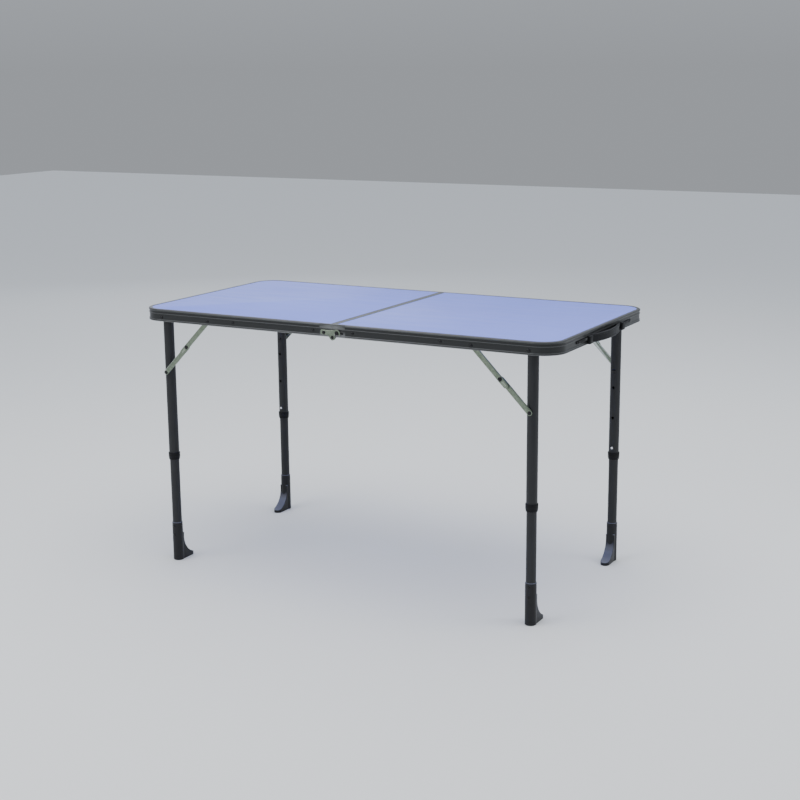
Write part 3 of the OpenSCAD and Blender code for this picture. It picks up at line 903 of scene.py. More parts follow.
@dataclass
class TopHalf:
    """One half of the top: board, rail, seam trim, strap and their rivets."""

    datum: Datum
    half: Half
    strap_x: float = 300.0
    strap_w: float = 24.0
    near_seam_x: float = 57.0
    seat_end: float = 36.6
    corner_steps: int = 18
    trim_w: float = 8.6
    trim_round: float = 3.6

    @property
    def body(self) -> str:
        """The body that carries the half."""
        return f"{self.half.word}_half"

    def _section(self, seat: bool) -> list[Point]:
        """The rail's section, as (distance in from the outer face, height).

        Args:
            seat: whether it is the flat seat under the seam hinge.

        Returns:
            The corners in order.
        """
        d, s = self.datum, self.datum.skirt
        outer = [
            (5.2, 0.0), (3.4, -0.08), (2.0, -0.3), (0.95, -0.75), (0.3, -1.35), (0.0, -2.2),
            (0.0, -4.5), (0.35, -5.1), (1.3, -5.6),
            (1.3, -9.9), (0.3, -10.5), (0.3, -12.2), (1.6, -12.9),
        ]
        if seat:
            lower = [(1.6, -s), (3.2, -s)]
        else:
            lower = [
                (1.6, 6.0 - s), (0.4, 5.4 - s), (0.4, 3.4 - s), (1.2, 2.9 - s), (1.2, 2.4 - s),
                (0.25, 2.0 - s), (0.0, 1.6 - s), (0.0, 0.7 - s), (0.5, -s), (3.8, -s),
                (3.8, 1.4 - s), (3.2, 2.0 - s),
            ]
        inner = [
            (3.2, -d.ledge), (d.lip, -d.ledge), (d.lip, -d.under_board),
            (2.4, -d.under_board), (2.4, -d.lip_t), (d.lip, -d.lip_t), (d.lip, -0.35),
            (d.lip - 0.35, 0.0),
        ]
        return outer + lower + inner

    def _rail(self) -> Blank:
        """Sweeps the section round the half from one end of the seam to the other."""
        d = self.datum
        y, r = d.side_y, d.corner_r
        straight = d.end_x - r
        rail = Blank()
        bm = rail.bm
        ring = [
            bm.verts.new((self.seat_end, -y + o, d.top_z + h)) for o, h in self._section(False)
        ]
        edges = [bm.edges.new(p) for p in zip(ring, ring[1:] + ring[:1])]
        bmesh.ops.contextual_create(bm, geom=edges)
        front: list[bmesh.types.BMEdge] = edges

        def run(vec: tuple[float, float, float]) -> None:
            """Draws the section on in a straight line."""
            nonlocal front
            grown = bmesh.ops.extrude_edge_only(bm, edges=front)["geom"]
            bmesh.ops.translate(bm, vec=vec, verts=verts_of(grown))
            front = edges_of(grown)

        def bend(centre: tuple[float, float, float]) -> None:
            """Draws the section on round a corner."""
            nonlocal front
            verts = list({v for e in front for v in e.verts})
            last = bmesh.ops.spin(
                bm, geom=verts + front, cent=centre, axis=(0, 0, 1), dvec=(0, 0, 0),
                angle=math.pi / 2, steps=self.corner_steps, use_merge=False,
                use_duplicate=False,
            )["geom_last"]
            front = edges_of(last)

        run((straight - self.seat_end, 0.0, 0.0))
        bend((straight, -y + r, 0.0))
        run((0.0, 2 * (y - r), 0.0))
        bend((straight, y - r, 0.0))
        run((self.seat_end - straight, 0.0, 0.0))
        bmesh.ops.contextual_create(bm, geom=front)
        bmesh.ops.remove_doubles(bm, verts=bm.verts[:], dist=1e-4)
        rail.tidy()
        for row in Row:
            seat = Blank.plate(
                [(row.value * (y - o), h) for o, h in self._section(True)],
                self.seat_end - d.seam_half,
            )
            rail.add(seat.place(Matrix.Translation((d.seam_half, 0.0, d.top_z)) @ CROSSWISE))
        return rail

    def _slab(self, x0: float, inset: float, z0: float, z1: float) -> Blank:
        """A board layer from x0 out, set in from the rail, with two round outer corners."""
        d = self.datum
        x1, y, r = d.end_x - inset, d.side_y - inset, d.corner_r - inset
        slab = Blank.plate([(x0, -y), (x1, -y), (x1, y), (x0, y)], z1 - z0, {1: r, 2: r}, 22)
        slab.ease(0.25, 2, 60.0)
        return slab.place(Matrix.Translation((0.0, 0.0, d.top_z + z0)))

    def _board(self) -> Blank:
        """The laminated board, whose field stands up between the rail's lip and the trim."""
        d = self.datum
        edge_x, field_x = d.seam_half + self.trim_round + 1, d.seam_half + self.trim_w + 0.2
        edge = self._slab(edge_x, 2.4, -d.under_board, -d.lip_t)
        return edge.add(self._slab(field_x, d.lip + 0.2, -d.lip_t - 1, d.field_rise - d.lip_t))

    def _trim(self) -> Blank:
        """The thin channel that closes the board's seam edge."""
        d = self.datum
        a, b, c = d.seam_half, d.seam_half + self.trim_w, d.seam_half + self.trim_round + 1
        t, low = d.under_board, d.ledge
        section = [
            (a, 0.0), (b, 0.0), (b, -1.2), (c, -1.2), (c, -t), (b, -t), (b, -low), (a, -low),
        ]
        y = d.side_y - d.lip
        trim = Blank.plate(
            [(x, h + d.top_z) for x, h in section], 2 * y,
            {0: self.trim_round, 1: 0.25, 7: 0.3}, 8,
        )
        return trim.place(Matrix.Translation((0.0, -y, 0.0)) @ UPRIGHT)

    def _strap(self) -> Blank:
        """The flat strip under the board, with a bent foot at each rail."""
        d = self.datum
        x, z, half_w, t = self.strap_x, d.top_z - d.under_board, self.strap_w / 2, 1.6
        strap = Blank.block(
            (x - half_w, d.lip - d.side_y, z - 1.8), (x + half_w, d.side_y - d.lip, z)
        )
        strap.ease(0.4, 2)
        wall, toe, top, low = d.wall_in, d.wall_in - 10.8, -d.ledge, -d.ledge - 18
        foot = [
            (wall, top), (wall, low), (wall - t, low), (wall - t, top - t), (toe, top - t),
            (toe, top),
        ]
        for row in Row:
            bent = Blank.plate(
                [(row.value * y, h) for y, h in foot], self.strap_w, {0: 1.2, 3: 0.8}, 4
            )
            bent.place(Matrix.Translation((x - half_w, 0.0, d.top_z)) @ CROSSWISE)
            strap.add(bent.ease(0.3, 2, 50.0))
        return strap

    def _rivets(self) -> Blank:
        """The plain rivets, the brace pivots and the leaf rivets of both long sides."""
        d = self.datum
        a, b = d.wall_in, d.wall_out
        blank = Blank()
        low = d.pivot_z + 3
        link_in, link_out = d.upper_link_y
        for row in Row:
            parts = [
                Rivet(2.4, a - 1.2, 3.8, 1.2, b, 4.2, 1.8).blank(self.near_seam_x, low),
                Rivet(2.4, a - 2.8, 3.8, 1.2, b, 4.2, 1.8).blank(self.strap_x, low),
                Rivet(3.0, link_in - 1.7, 5.0, 1.4, b, 4.8, 1.9).blank(d.rail_x, d.pivot_z),
                washer(d.rail_x, d.pivot_z, 3.0, 5.4, link_out + d.run, a),
            ]
            if self.half is Half.RIGHT:
                leaf_rivet = Rivet(2.0, a - 2.6, 3.0, 1.0, b, 3.4, 1.0, 0.8)
                parts.append(leaf_rivet.blank(28.0, d.lock_z))
            else:
                leaf_rivet = Rivet(2.0, a - 1.2, 3.0, 1.0, b + 0.5, 2.6, 1.0, 0.8)
                parts.append(leaf_rivet.blank(12.0, d.lock_z))
            for part in parts:
                blank.add(part.place(row.flip))
        return blank

    def _pivots(self) -> tuple[Blank, Blank]:
        """The leg pivot pins, and the plastic spacers they pass through."""
        d = self.datum
        pins, spacers = Blank(), Blank()
        spacer_r = d.pivot_z - (d.top_z - d.skirt + 2.0) - d.run
        for row in Row:
            pin = Rivet(4.0, d.leg_y - 3, 4.0, 0.0, d.wall_out, 4.8, 1.9, 1.4)
            pins.add(pin.blank(d.leg_x, d.pivot_z).place(row.flip))
            spacer = washer(
                d.leg_x, d.pivot_z, 4.0, spacer_r, d.leg_y + d.upper_r + 1.4, d.wall_in
            )
            spacers.add(spacer.place(row.flip))
        return pins, spacers

    def build(self) -> None:
        """Makes and fits every piece of the half."""
        word, home = self.half.word, self.datum.quarter(self.half)
        pins, spacers = self._pivots()
        pieces = (
            (self._board(), "board", LAMINATE, 40.0),
            (self._rail(), "rail", RAIL, 40.0),
            (self._trim(), "seam_trim", RAIL, 30.0),
            (self._strap(), "strap", STRIP, 30.0),
            (self._rivets(), "rivets", RIVET, 40.0),
            (pins, "pivot_pins", RIVET, 40.0),
            (spacers, "pivot_spacers", PLASTIC, 40.0),
        )
        for blank, kind, finish, smooth in pieces:
            node = f"{word}_{kind}"
            fit_out(blank.place(home), f"{node}_made", self.body, finish, [node], smooth)


# ---------------------------------------------------------------------------
# Seam hinge and lock
# ---------------------------------------------------------------------------


@dataclass
class SeamHardware:
    """The hinge leaves, their pins, the lock studs and the hooks."""

    datum: Datum
    lobe_r: float = 7.5
    stud_x: float = 14.0
    stud_r: float = 4.5
    hook_x: float = 23.0

    def _leaf(self, y0: float, thickness: float, lobe_cut: tuple[float, float]) -> Blank:
        """A hinge leaf between a plate on the rail and a round end at the fold axis.

        Args:
            y0: Y of its inner face.
            thickness: its thickness.
            lobe_cut: the two Y values between which the round end is thinned.

        Returns:
            The leaf in the right back quarter.
        """
        d, r = self.datum, self.lobe_r
        z, f = d.lock_z, d.fold_z
        outline = [
            (3, z + 6.5), (34, z + 6.5), (34, z - 5), (12, z - 6.5), (r * 0.85, f - r * 0.5),
            (-r * 0.7, f + r * 0.7), (3, f + r + 2),
        ]
        leaf = Blank.plate(outline, thickness, {1: 3.0, 2: 2.5}, 6)
        lobe = Blank.disc(r, thickness).place(Matrix.Translation((0.0, f, 0.0)))
        leaf.combine(lobe, Join.FUSE)
        leaf.place(Matrix.Translation((0.0, y0, 0.0)) @ UPRIGHT)
        edge = 0.9 if lobe_cut[0] < y0 + 0.01 else 2.9
        leaf.combine(
            Blank.block((-30, lobe_cut[0] - 1e-2, f - 30), (edge, lobe_cut[1], f + 30)), Join.CUT
        )
        return leaf.tidy().ease(0.25, 2, 40.0)

    def _leaves(self, half: Half) -> Blank:
        """The leaves of one half, at the front and the back."""
        d = self.datum
        blank = Blank()
        for row in Row:
            if half is Half.LEFT:
                leaf = self._leaf(d.wall_out, 1.5, (d.wall_out, d.wall_out + 0.4))
            else:
                leaf = self._leaf(d.wall_in - 1.6, 1.6, (d.wall_in - 0.4, d.wall_in + 1))
            blank.add(leaf.place(row.flip))
        return blank

    def _pins(self) -> Blank:
        """The fold pins and the hooks' pivots."""
        d = self.datum
        blank = Blank()
        for row in Row:
            fold = Rivet(3.0, d.wall_in - 3.2, 4.8, 1.3, d.wall_out + 1.5, 4.4, 1.2)
            hang = Rivet(3.0, d.wall_in - 1.2, 4.4, 1.2, d.hook_out + d.run, 4.8, 1.2)
            blank.add(fold.blank(0.0, d.fold_z).place(row.flip))
            blank.add(hang.blank(self.hook_x, d.lock_z).place(row.flip))
        return blank

    def _studs(self) -> Blank:
        """The round lock studs with their flanges and domed ends."""
        d, r = self.datum, self.stud_r
        a, b, top = d.wall_in, d.wall_out, d.hook_out
        profile = [
            (0.0, a - 2.8), (3.8, a - 2.8), (4.2, a - 2.5), (4.2, a - 1.6), (3.0, a - 1.6),
            (3.0, b), (r + 0.6, b), (r + 0.6, d.side_y - 0.7), (r + 0.3, d.side_y - 0.4),
            (r, d.side_y - 0.4), (r, top - 0.1), (r - 0.3, top + 0.35), (r - 0.8, top + 0.7),
            (r - 1.8, top + 0.95), (1.2, top + 1.05), (0.0, top + 0.7),
        ]
        blank = Blank()
        for row in Row:
            stud = Blank.turned(profile, 36).place(
                Matrix.Translation((self.stud_x, 0.0, d.lock_z)) @ ALONG_Y
            )
            blank.add(stud.place(row.flip))
        return blank

    def _hook(self) -> Blank:
        """A pressed hook, drawn for the left half, where the stud is at -X."""
        d, h, s = self.datum, self.hook_x, self.stud_x
        z = d.lock_z
        outline = [
            (h + 5, z + 2.6), (h + 2.6, z + 6), (-6, z + 7.6), (-s, z + 2), (-6, z - 5.4),
            (h + 2.6, z - 5.2), (h + 5, z - 2.4),
        ]
        ring = self.stud_r + 1.7
        hook = Blank.plate(outline, d.hook_t, {0: 2.0, 1: 2.0, 5: 2.0, 6: 2.0}, 4)
        hook.combine(
            Blank.disc(ring + 3.3, d.hook_t, 56).place(Matrix.Translation((-s, z, 0))), Join.FUSE
        )
        hook.combine(Blank.disc(ring, 6.0, 48).place(Matrix.Translation((-s, z, -2))), Join.CUT)
        mouth = Blank.block((-s - ring, z - 31, -2), (-s + ring, z - 1, 4))
        hook.combine(mouth, Join.CUT)
        hook.combine(Blank.block((-s - 20, z - 36, -2), (-s, z - 6, 4)), Join.CUT)
        hook.place(Matrix.Translation((0.0, d.side_y + d.run, 0.0)) @ UPRIGHT)
        return hook.tidy().ease(0.3, 2, 40.0)

    def build(self) -> None:
        """Makes and fits the hinges and the locks."""
        d = self.datum
        left, right = d.quarter(Half.LEFT), d.quarter(Half.RIGHT)
        jobs = (
            (self._leaves(Half.LEFT).place(left), "left_hinge_leaves", "left_half", ZINC),
            (self._leaves(Half.RIGHT).place(right), "right_hinge_leaves", "right_half", ZINC),
            (self._pins().place(left), "seam_pivots", "left_half", RIVET),
            (self._studs().place(right), "lock_studs", "right_half", RIVET),
        )
        for blank, node, body, finish in jobs:
            fit_out(blank, f"{node}_made", body, finish, [node], 40.0)
        for row in Row:
            hook = self._hook().place(d.quarter(Half.LEFT, row))
            name = f"{row.word}_hook"
            fit_out(hook, f"{name}_made", name, ZINC, [name], 40.0)


# ---------------------------------------------------------------------------
# Carry handle
# ---------------------------------------------------------------------------


@dataclass
class CarryHandle:
    """The carry handle on the end rail: a bowed grip on a strip held by two end caps."""

    datum: Datum
    length: float = 364.0
    cap_length: float = 51.0
    reach: float = 20.0
    height: float = 20.0
    thickness: float = 8.0
    cap_t: float = 4.5
    cap_h: float = 9.0

    @property
    def cap_y(self) -> float:
        """Y of the inner end of a cap."""
        return self.length / 2 - self.cap_length

    @property
    def screw_y(self) -> float:
        """Y of the caps' screws."""
        return self.length / 2 - 14

    @property
    def grip_half(self) -> float:
        """Y at which the grip's bow meets the rail."""
        return self.cap_y - 27

    @property
    def grip_z(self) -> float:
        """Height of the grip's middle."""
        return self.datum.top_z - self.datum.skirt + 1 + self.height / 2

    @property
    def cap_z(self) -> float:
        """Height of the caps' middle, just under the rail's upper rib."""
        return self.datum.top_z - self.datum.channel - self.datum.run - self.cap_h / 2

    def _grip(self) -> Blank:
        """The bowed grip, spun about a far centre, between two blunt shoulders."""
        face, half, sag = self.datum.end_x, self.grip_half, self.reach
        radius = (half**2 + sag**2) / (2 * sag)
        half_turn = math.asin(half / radius) + 0.01
        bow = Blank()
        bm = bow.bm
        h, t = self.height / 2, self.thickness
        section = [
            (radius, -h + 1.4), (radius - 1.4, -h), (radius - t + 2.0, -h),
            (radius - t, -h + 2.0), (radius - t, h - 2.0), (radius - t + 2.0, h),
            (radius - 1.4, h), (radius, h - 1.4), (radius, h - 4.0), (radius - 0.8, h - 4.6),
            (radius - 0.8, -h + 4.6), (radius, -h + 4.0),
        ]
        verts = [bm.verts.new((r, 0.0, z)) for r, z in section]
        edges = [bm.edges.new(p) for p in zip(verts, verts[1:] + verts[:1])]
        bmesh.ops.rotate(
            bm, verts=verts, cent=(0, 0, 0), matrix=Matrix.Rotation(-half_turn, 3, "Z")
        )
        bmesh.ops.contextual_create(bm, geom=edges)
        last = bmesh.ops.spin(
            bm, geom=verts + edges, cent=(0, 0, 0), axis=(0, 0, 1), dvec=(0, 0, 0),
            angle=2 * half_turn, steps=48, use_merge=False, use_duplicate=False,
        )["geom_last"]
        bmesh.ops.contextual_create(bm, geom=edges_of(last))
        bow.tidy().place(Matrix.Translation((face + sag - radius, 0.0, self.grip_z)))
        bow.trim((face + 0.02, 0, 0), (-1, 0, 0))
        for row in Row:
            y = row.value * (half + 4)
            shoulder = Blank.block(
                (face + 0.02, y - 9, self.grip_z - h), (face + t + 1, y + 9, self.grip_z + h)
            )
            bow.add(shoulder.ease(1.8, 3))
        return bow

    def _strip(self) -> Blank:
        """The two ends of the flat strip, between the grip and the caps."""
        face, z, h = self.datum.end_x, self.cap_z, self.cap_h / 2 - 1.75
        strip = Blank()
        for row in Row:
            a, b = sorted((row.value * self.grip_half, row.value * (self.cap_y + 14)))
            end = Blank.block((face + 0.1, a, z - h), (face + 1.6, b, z + h))
            strip.add(end.ease(0.3, 2))
        return strip

    def _caps(self) -> Blank:
        """The tapered caps, each with a pocket for the strip and a seat for its screw."""
        d = self.datum
        back, h, c, y = d.end_x - 1.6, self.cap_h / 2, self.cap_length, self.cap_y
        side = [(0, -h), (c, -h * 2 / 3), (c, h * 2 / 3), (0, h)]
        plan = [(0, 0), (c, 0), (c, 2.0), (10, self.cap_t), (0, self.cap_t)]
        cap = Blank.plate(side, 20.0, {1: 1.5, 2: 1.5}, 5).place(
            Matrix.Translation((back - 1, y, self.cap_z)) @ CROSSWISE
        )
        cap.tidy()
        over = Blank.plate(plan, 40.0, {2: 1.2, 3: 4.0, 4: 0.8}, 5).place(
            Matrix.Translation((back, y, self.cap_z - 20)) @ LEVEL
        )
        cap.combine(over.tidy(), Join.KEEP_COMMON)
        cap.ease(0.5, 2, 50.0)
        pocket = Blank.block(
            (back - 1, y - 1, self.cap_z - h + 1.45), (d.end_x + 1.9, y + 15, self.cap_z + h - 1.45)
        )
        cap.combine(pocket, Join.CUT)
        seat = Blank.disc(3.6, 9.0).place(
            Matrix.Translation((d.end_x + 1, self.screw_y, self.cap_z)) @ ALONG_X
        )
        cap.combine(seat, Join.CUT)
        pair = Blank()
        for row in Row:
            pair.add(cap.copy().place(row.flip))
        cap.bm.free()
        return pair

    def _screws(self) -> Blank:
        """The two cap screws, with a small recess in each head."""
        profile = [
            (0.0, -6.9), (1.95, -6.9), (1.95, 0.0), (3.4, 0.0), (3.4, 0.7), (3.0, 1.1),
            (2.2, 1.35), (1.2, 1.4), (1.0, 0.8), (0.0, 0.7),
        ]
        blank = Blank()
        for row in Row:
            seat = (self.datum.end_x + 1, row.value * self.screw_y, self.cap_z)
            blank.add(Blank.turned(profile, 28).place(Matrix.Translation(seat) @ ALONG_X))
        return blank

    def build(self) -> None:
        """Makes and fits the grip, its strip, the end caps and their screws."""
        home = self.datum.quarter(Half.RIGHT)
        jobs = (
            (self._grip(), "carry_handle_grip", GRIP, "carry_handle"),
            (self._strip(), "carry_handle_strip", RAIL, "carry_handle"),
            (self._caps(), "carry_handle_caps", GRIP, "carry_handle"),
            (self._screws(), "handle_screws", RIVET, "handle_screws"),
        )
        for blank, name, finish, node in jobs:
            fit_out(blank.place(home), f"{name}_made", "right_half", finish, [node], 35.0)


# ---------------------------------------------------------------------------
# Legs
# ---------------------------------------------------------------------------


@dataclass
class LegPair:
    """The two upper legs of one end, joined by a cross tube."""

    datum: Datum
    half: Half
    collar_h: float = 20.0
    hole_pitch: float = 82.5
    button_r: float = 3.5
    brace_drop: float = 150.0
    cross_r: float = 10.45
    collar_top: float = field(init=False)

    def __post_init__(self) -> None:
        """Reads where the collars are."""
        self.collar_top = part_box(f"{self.half.word}_collars")[1][2] / MM

    def _cross_tube(self) -> Blank:
        """The tube on the fold axis."""
        d, r = self.datum, self.cross_r
        return washer(d.leg_x, d.pivot_z, r - 1.5, r, 6 - d.leg_y, d.leg_y - 6)

    def _knuckle(self) -> Blank:
        """A moulded elbow that joins a leg to the cross tube and turns on the pivot pin."""
        d = self.datum
        r, w, y = d.upper_r + 0.4, d.upper_r + 1.0, d.leg_y
        hub = [
            (4.1, y - 4.9), (4.1, y + w), (r - 1.2, y + w), (r, y + w - 1.2), (r, y + 6),
            (r - 0.6, y + 5.4), (r - 0.6, y - 5.4), (r, y - 6), (r, y - w + 1.2),
            (r - 1.2, y - w), (self.cross_r + 0.05, y - w), (self.cross_r + 0.05, y - 6),
        ]
        knuckle = Blank.turned(hub, 44, ring=True).place(
            Matrix.Translation((d.leg_x, 0.0, d.pivot_z)) @ ALONG_Y
        )
        spigot = [(0.0, -40), (d.bore_r - 0.6, -40), (d.bore_r, -39), (d.bore_r, -10), (0.0, -10)]
        return knuckle.add(
            Blank.turned(spigot, 32).place(Matrix.Translation((d.leg_x, y, d.pivot_z)))
        )

    def _upper_tube(self) -> Blank:
        """The upper tube with its three height holes on the inner side."""
        d = self.datum
        low, high = self.collar_top - self.collar_h + 4, d.pivot_z - 6
        ring = [
            (d.bore_r, low), (d.upper_r, low), (d.upper_r, high), (d.bore_r, high)
        ]
        tube = Blank.turned(ring, 48, ring=True).place(
            Matrix.Translation((d.leg_x, d.leg_y, 0.0))
        )
        for step in range(3):
            hole = Blank.disc(self.button_r, 14.0, 28).place(
                Matrix.Translation(
                    (d.leg_x, d.leg_y - 16, self.collar_top + 13 + step * self.hole_pitch)
                ) @ ALONG_Y
            )
            tube.combine(hole, Join.CUT)
        return tube.tidy()

    def _collar(self) -> Blank:
        """The plastic collar, with a rolled top, a grip band and an inner guide."""
        d = self.datum
        r, b = d.upper_r + 2.1, self.collar_top - self.collar_h
        t = self.collar_top
        ring = [
            (d.bore_r + 0.02, b), (r - 2.0, b), (r - 1.4, b + 0.3), (r - 0.5, b + 6.0),
            (r - 0.5, b + 7.0), (r - 0.2, b + 7.4), (r - 0.2, t - 5.4), (r - 0.6, t - 5.0),
            (r - 0.6, t - 4.4), (r, t - 3.8), (r, t - 1.6), (r - 0.5, t - 0.5), (r - 1.3, t),
            (d.upper_r, t), (d.upper_r, b + 4), (d.bore_r + 0.02, b + 4),
        ]
        return Blank.turned(ring, 48, ring=True).place(
            Matrix.Translation((d.leg_x, d.leg_y, 0.0))
        )

    def _anchor(self) -> Blank:
        """The through-rivet that takes the brace's lower end, its head on the inner side."""
        d = self.datum
        inner = d.leg_y - d.upper_r
        z = d.pivot_z - self.brace_drop
        profile = [
            (0.0, inner - 1.75), (2.6, inner - 1.7), (4.6, inner - 1.1), (5.8, inner - 0.1),
            (6.0, inner + 0.7), (5.8, inner + 1.05), (3.0, inner + 1.05),
            (3.0, d.leg_y + d.upper_r - 0.1), (0.0, d.leg_y + d.upper_r - 0.1),
        ]
        return Blank.turned(profile, 32).place(Matrix.Translation((d.leg_x, 0.0, z)) @ ALONG_Y)

    def build(self) -> None:
        """Makes and fits the pair's pieces."""
        word, home = self.half.word, self.datum.quarter(self.half)
        makers = (
            (self._knuckle, "knuckles", PLASTIC), (self._upper_tube, "upper_tubes", COAT),
            (self._collar, "collars", PLASTIC), (self._anchor, "anchors", RIVET),
        )
        body = f"{word}_legs"
        cross = self._cross_tube().place(home)
        fit_out(cross, f"{word}_cross_tube_made", body, COAT, [f"{word}_cross_tube"], 40.0)
        for maker, kind, finish in makers:
            pair = Blank()
            for row in Row:
                pair.add(maker().place(row.flip))
            node = f"{word}_{kind}"
            fit_out(pair.place(home), f"{node}_made", body, finish, [node], 40.0)


@dataclass
class LowerLeg:
    """A lower tube with its boot, boot rivets and snap button."""

    datum: Datum
    half: Half
    row: Row
    boot_h: float = 108.0
    boot_r: float = 14.3
    reach: float = 58.0

    @property
    def code(self) -> str:
        """The corner's two letters."""
        return corner_code(self.half, self.row)

    def _tube(self) -> Blank:
        """The lower tube, from inside the boot up into the upper tube."""
        d = self.datum
        low, high = (v[2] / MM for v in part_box(f"{self.code}_lower_tube"))
        ring = [
            (d.lower_in, low), (d.lower_r, low), (d.lower_r, high), (d.lower_in, high)
        ]
        return Blank.turned(ring, 48, ring=True).place(
            Matrix.Translation((d.leg_x, d.leg_y, 0.0))
        )

    def _boot(self) -> Blank:
        """The moulded boot: a socket that flares inwards into a curved foot."""
        r, h, f = self.boot_r, self.boot_h, self.reach
        barrel = [
            (0.0, 0.0), (r - 0.8, 0.0), (r, 0.9), (r, h - 7.0), (r - 0.5, h - 6.4),
            (r - 0.5, h - 5.4), (r, h - 4.8), (r, h - 1.0), (r - 0.9, h), (0.0, h),
        ]
        boot = Blank.turned(barrel, 56)
        side = Blank.plate([(0, 0), (f, 0), (f, 0.7 * h), (0, 0.7 * h)], 2 * r - 4)
        hollow = Blank.disc(f, 2 * r, 128).place(Matrix.Translation((f + 12, f + 7, -2)))
        side.combine(hollow, Join.CUT)
        side.place(Matrix(((0, 0, 1, 2 - r), (-1, 0, 0, 0), (0, 1, 0, 0), (0, 0, 0, 1))))
        side.tidy()
        plan = Blank.plate(
            [(2 - r, 0), (2 - r, -f), (r - 2, -f), (r - 2, 0)], h, {1: r - 2.1, 2: r - 2.1}, 12
        )
        side.combine(plan.place(Matrix.Translation((0, 0.0, -1))), Join.KEEP_COMMON)
        boot.add(side)
        boot.melt(0.9, 3)
        return boot.place(Matrix.Translation((self.datum.leg_x, self.datum.leg_y, 0.0)))

    def _rivets(self) -> Blank:
        """The two rivets through the boot's outer side."""
        d = self.datum
        blank = Blank()
        for z in (self.boot_h - 10, self.boot_h - 35):
            rivet = Rivet(
                2.0, d.leg_y + d.lower_in + 0.1, 2.0, 0.0, d.leg_y + self.boot_r, 3.4, 1.2, 0.7
            )
            blank.add(rivet.blank(d.leg_x, z))
        return blank

    def _button(self) -> Blank:
        """The domed snap button and the bent spring strip behind it."""
        d = self.datum
        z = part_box(f"{self.code}_button")[0][2] / MM + 8.0
        inner = 0.78 * d.lower_in
        dome = [
            (0.0, inner), (3.4, inner), (3.4, d.upper_r + 0.9), (3.2, d.upper_r + 1.4),
            (2.6, d.upper_r + 1.85), (1.6, d.upper_r + 2.15), (0.0, d.upper_r + 2.28),
        ]
        button = Blank.turned(dome, 32).place(
            Matrix.Translation((d.leg_x, d.leg_y, z)) @ Matrix.Rotation(math.pi / 2, 4, "X")
        )
        near, far = -0.86 * d.lower_in, 0.24 * d.lower_in
        strip = Blank()
        bm = strip.bm
        path = [bm.verts.new((-4.0, near, -8.0)), bm.verts.new((-4.0, near, 20.0))]
        bm.edges.new(path)
        mid = (near + far + 0.7) / 2
        last = bmesh.ops.spin(
            bm, geom=[path[1]], cent=(-4.0, mid, 20.0), axis=(1, 0, 0), dvec=(0, 0, 0),
            angle=-math.pi, steps=14, use_merge=False, use_duplicate=False,
        )["geom_last"]
        tip = verts_of(last)[0]
        bm.edges.new((tip, bm.verts.new((-4.0, tip.co.y, -2.0))))
        grown = bmesh.ops.extrude_edge_only(bm, edges=bm.edges[:])["geom"]
        bmesh.ops.translate(bm, vec=(8.0, 0, 0), verts=verts_of(grown))
        strip.tidy()
        bmesh.ops.solidify(bm, geom=bm.faces[:], thickness=0.6)
        strip.tidy()
        return button.add(strip.place(Matrix.Translation((d.leg_x, d.leg_y, z))))

    def build(self) -> None:
        """Makes and fits the lower leg's pieces."""
        home = self.datum.quarter(self.half, self.row)
        leg = f"{self.code}_lower_leg"
        jobs = (
            (self._tube(), "lower_tube", leg, COAT), (self._boot(), "boot", leg, BOOT),
            (self._rivets(), "boot_rivets", leg, RIVET),
            (self._button(), "button", f"{self.code}_button", BUTTON),
        )
        for blank, kind, body, finish in jobs:
            node = f"{self.code}_{kind}"
            fit_out(blank.place(home), f"{node}_made", body, finish, [node], 40.0)


# ---------------------------------------------------------------------------
# Braces
# ---------------------------------------------------------------------------


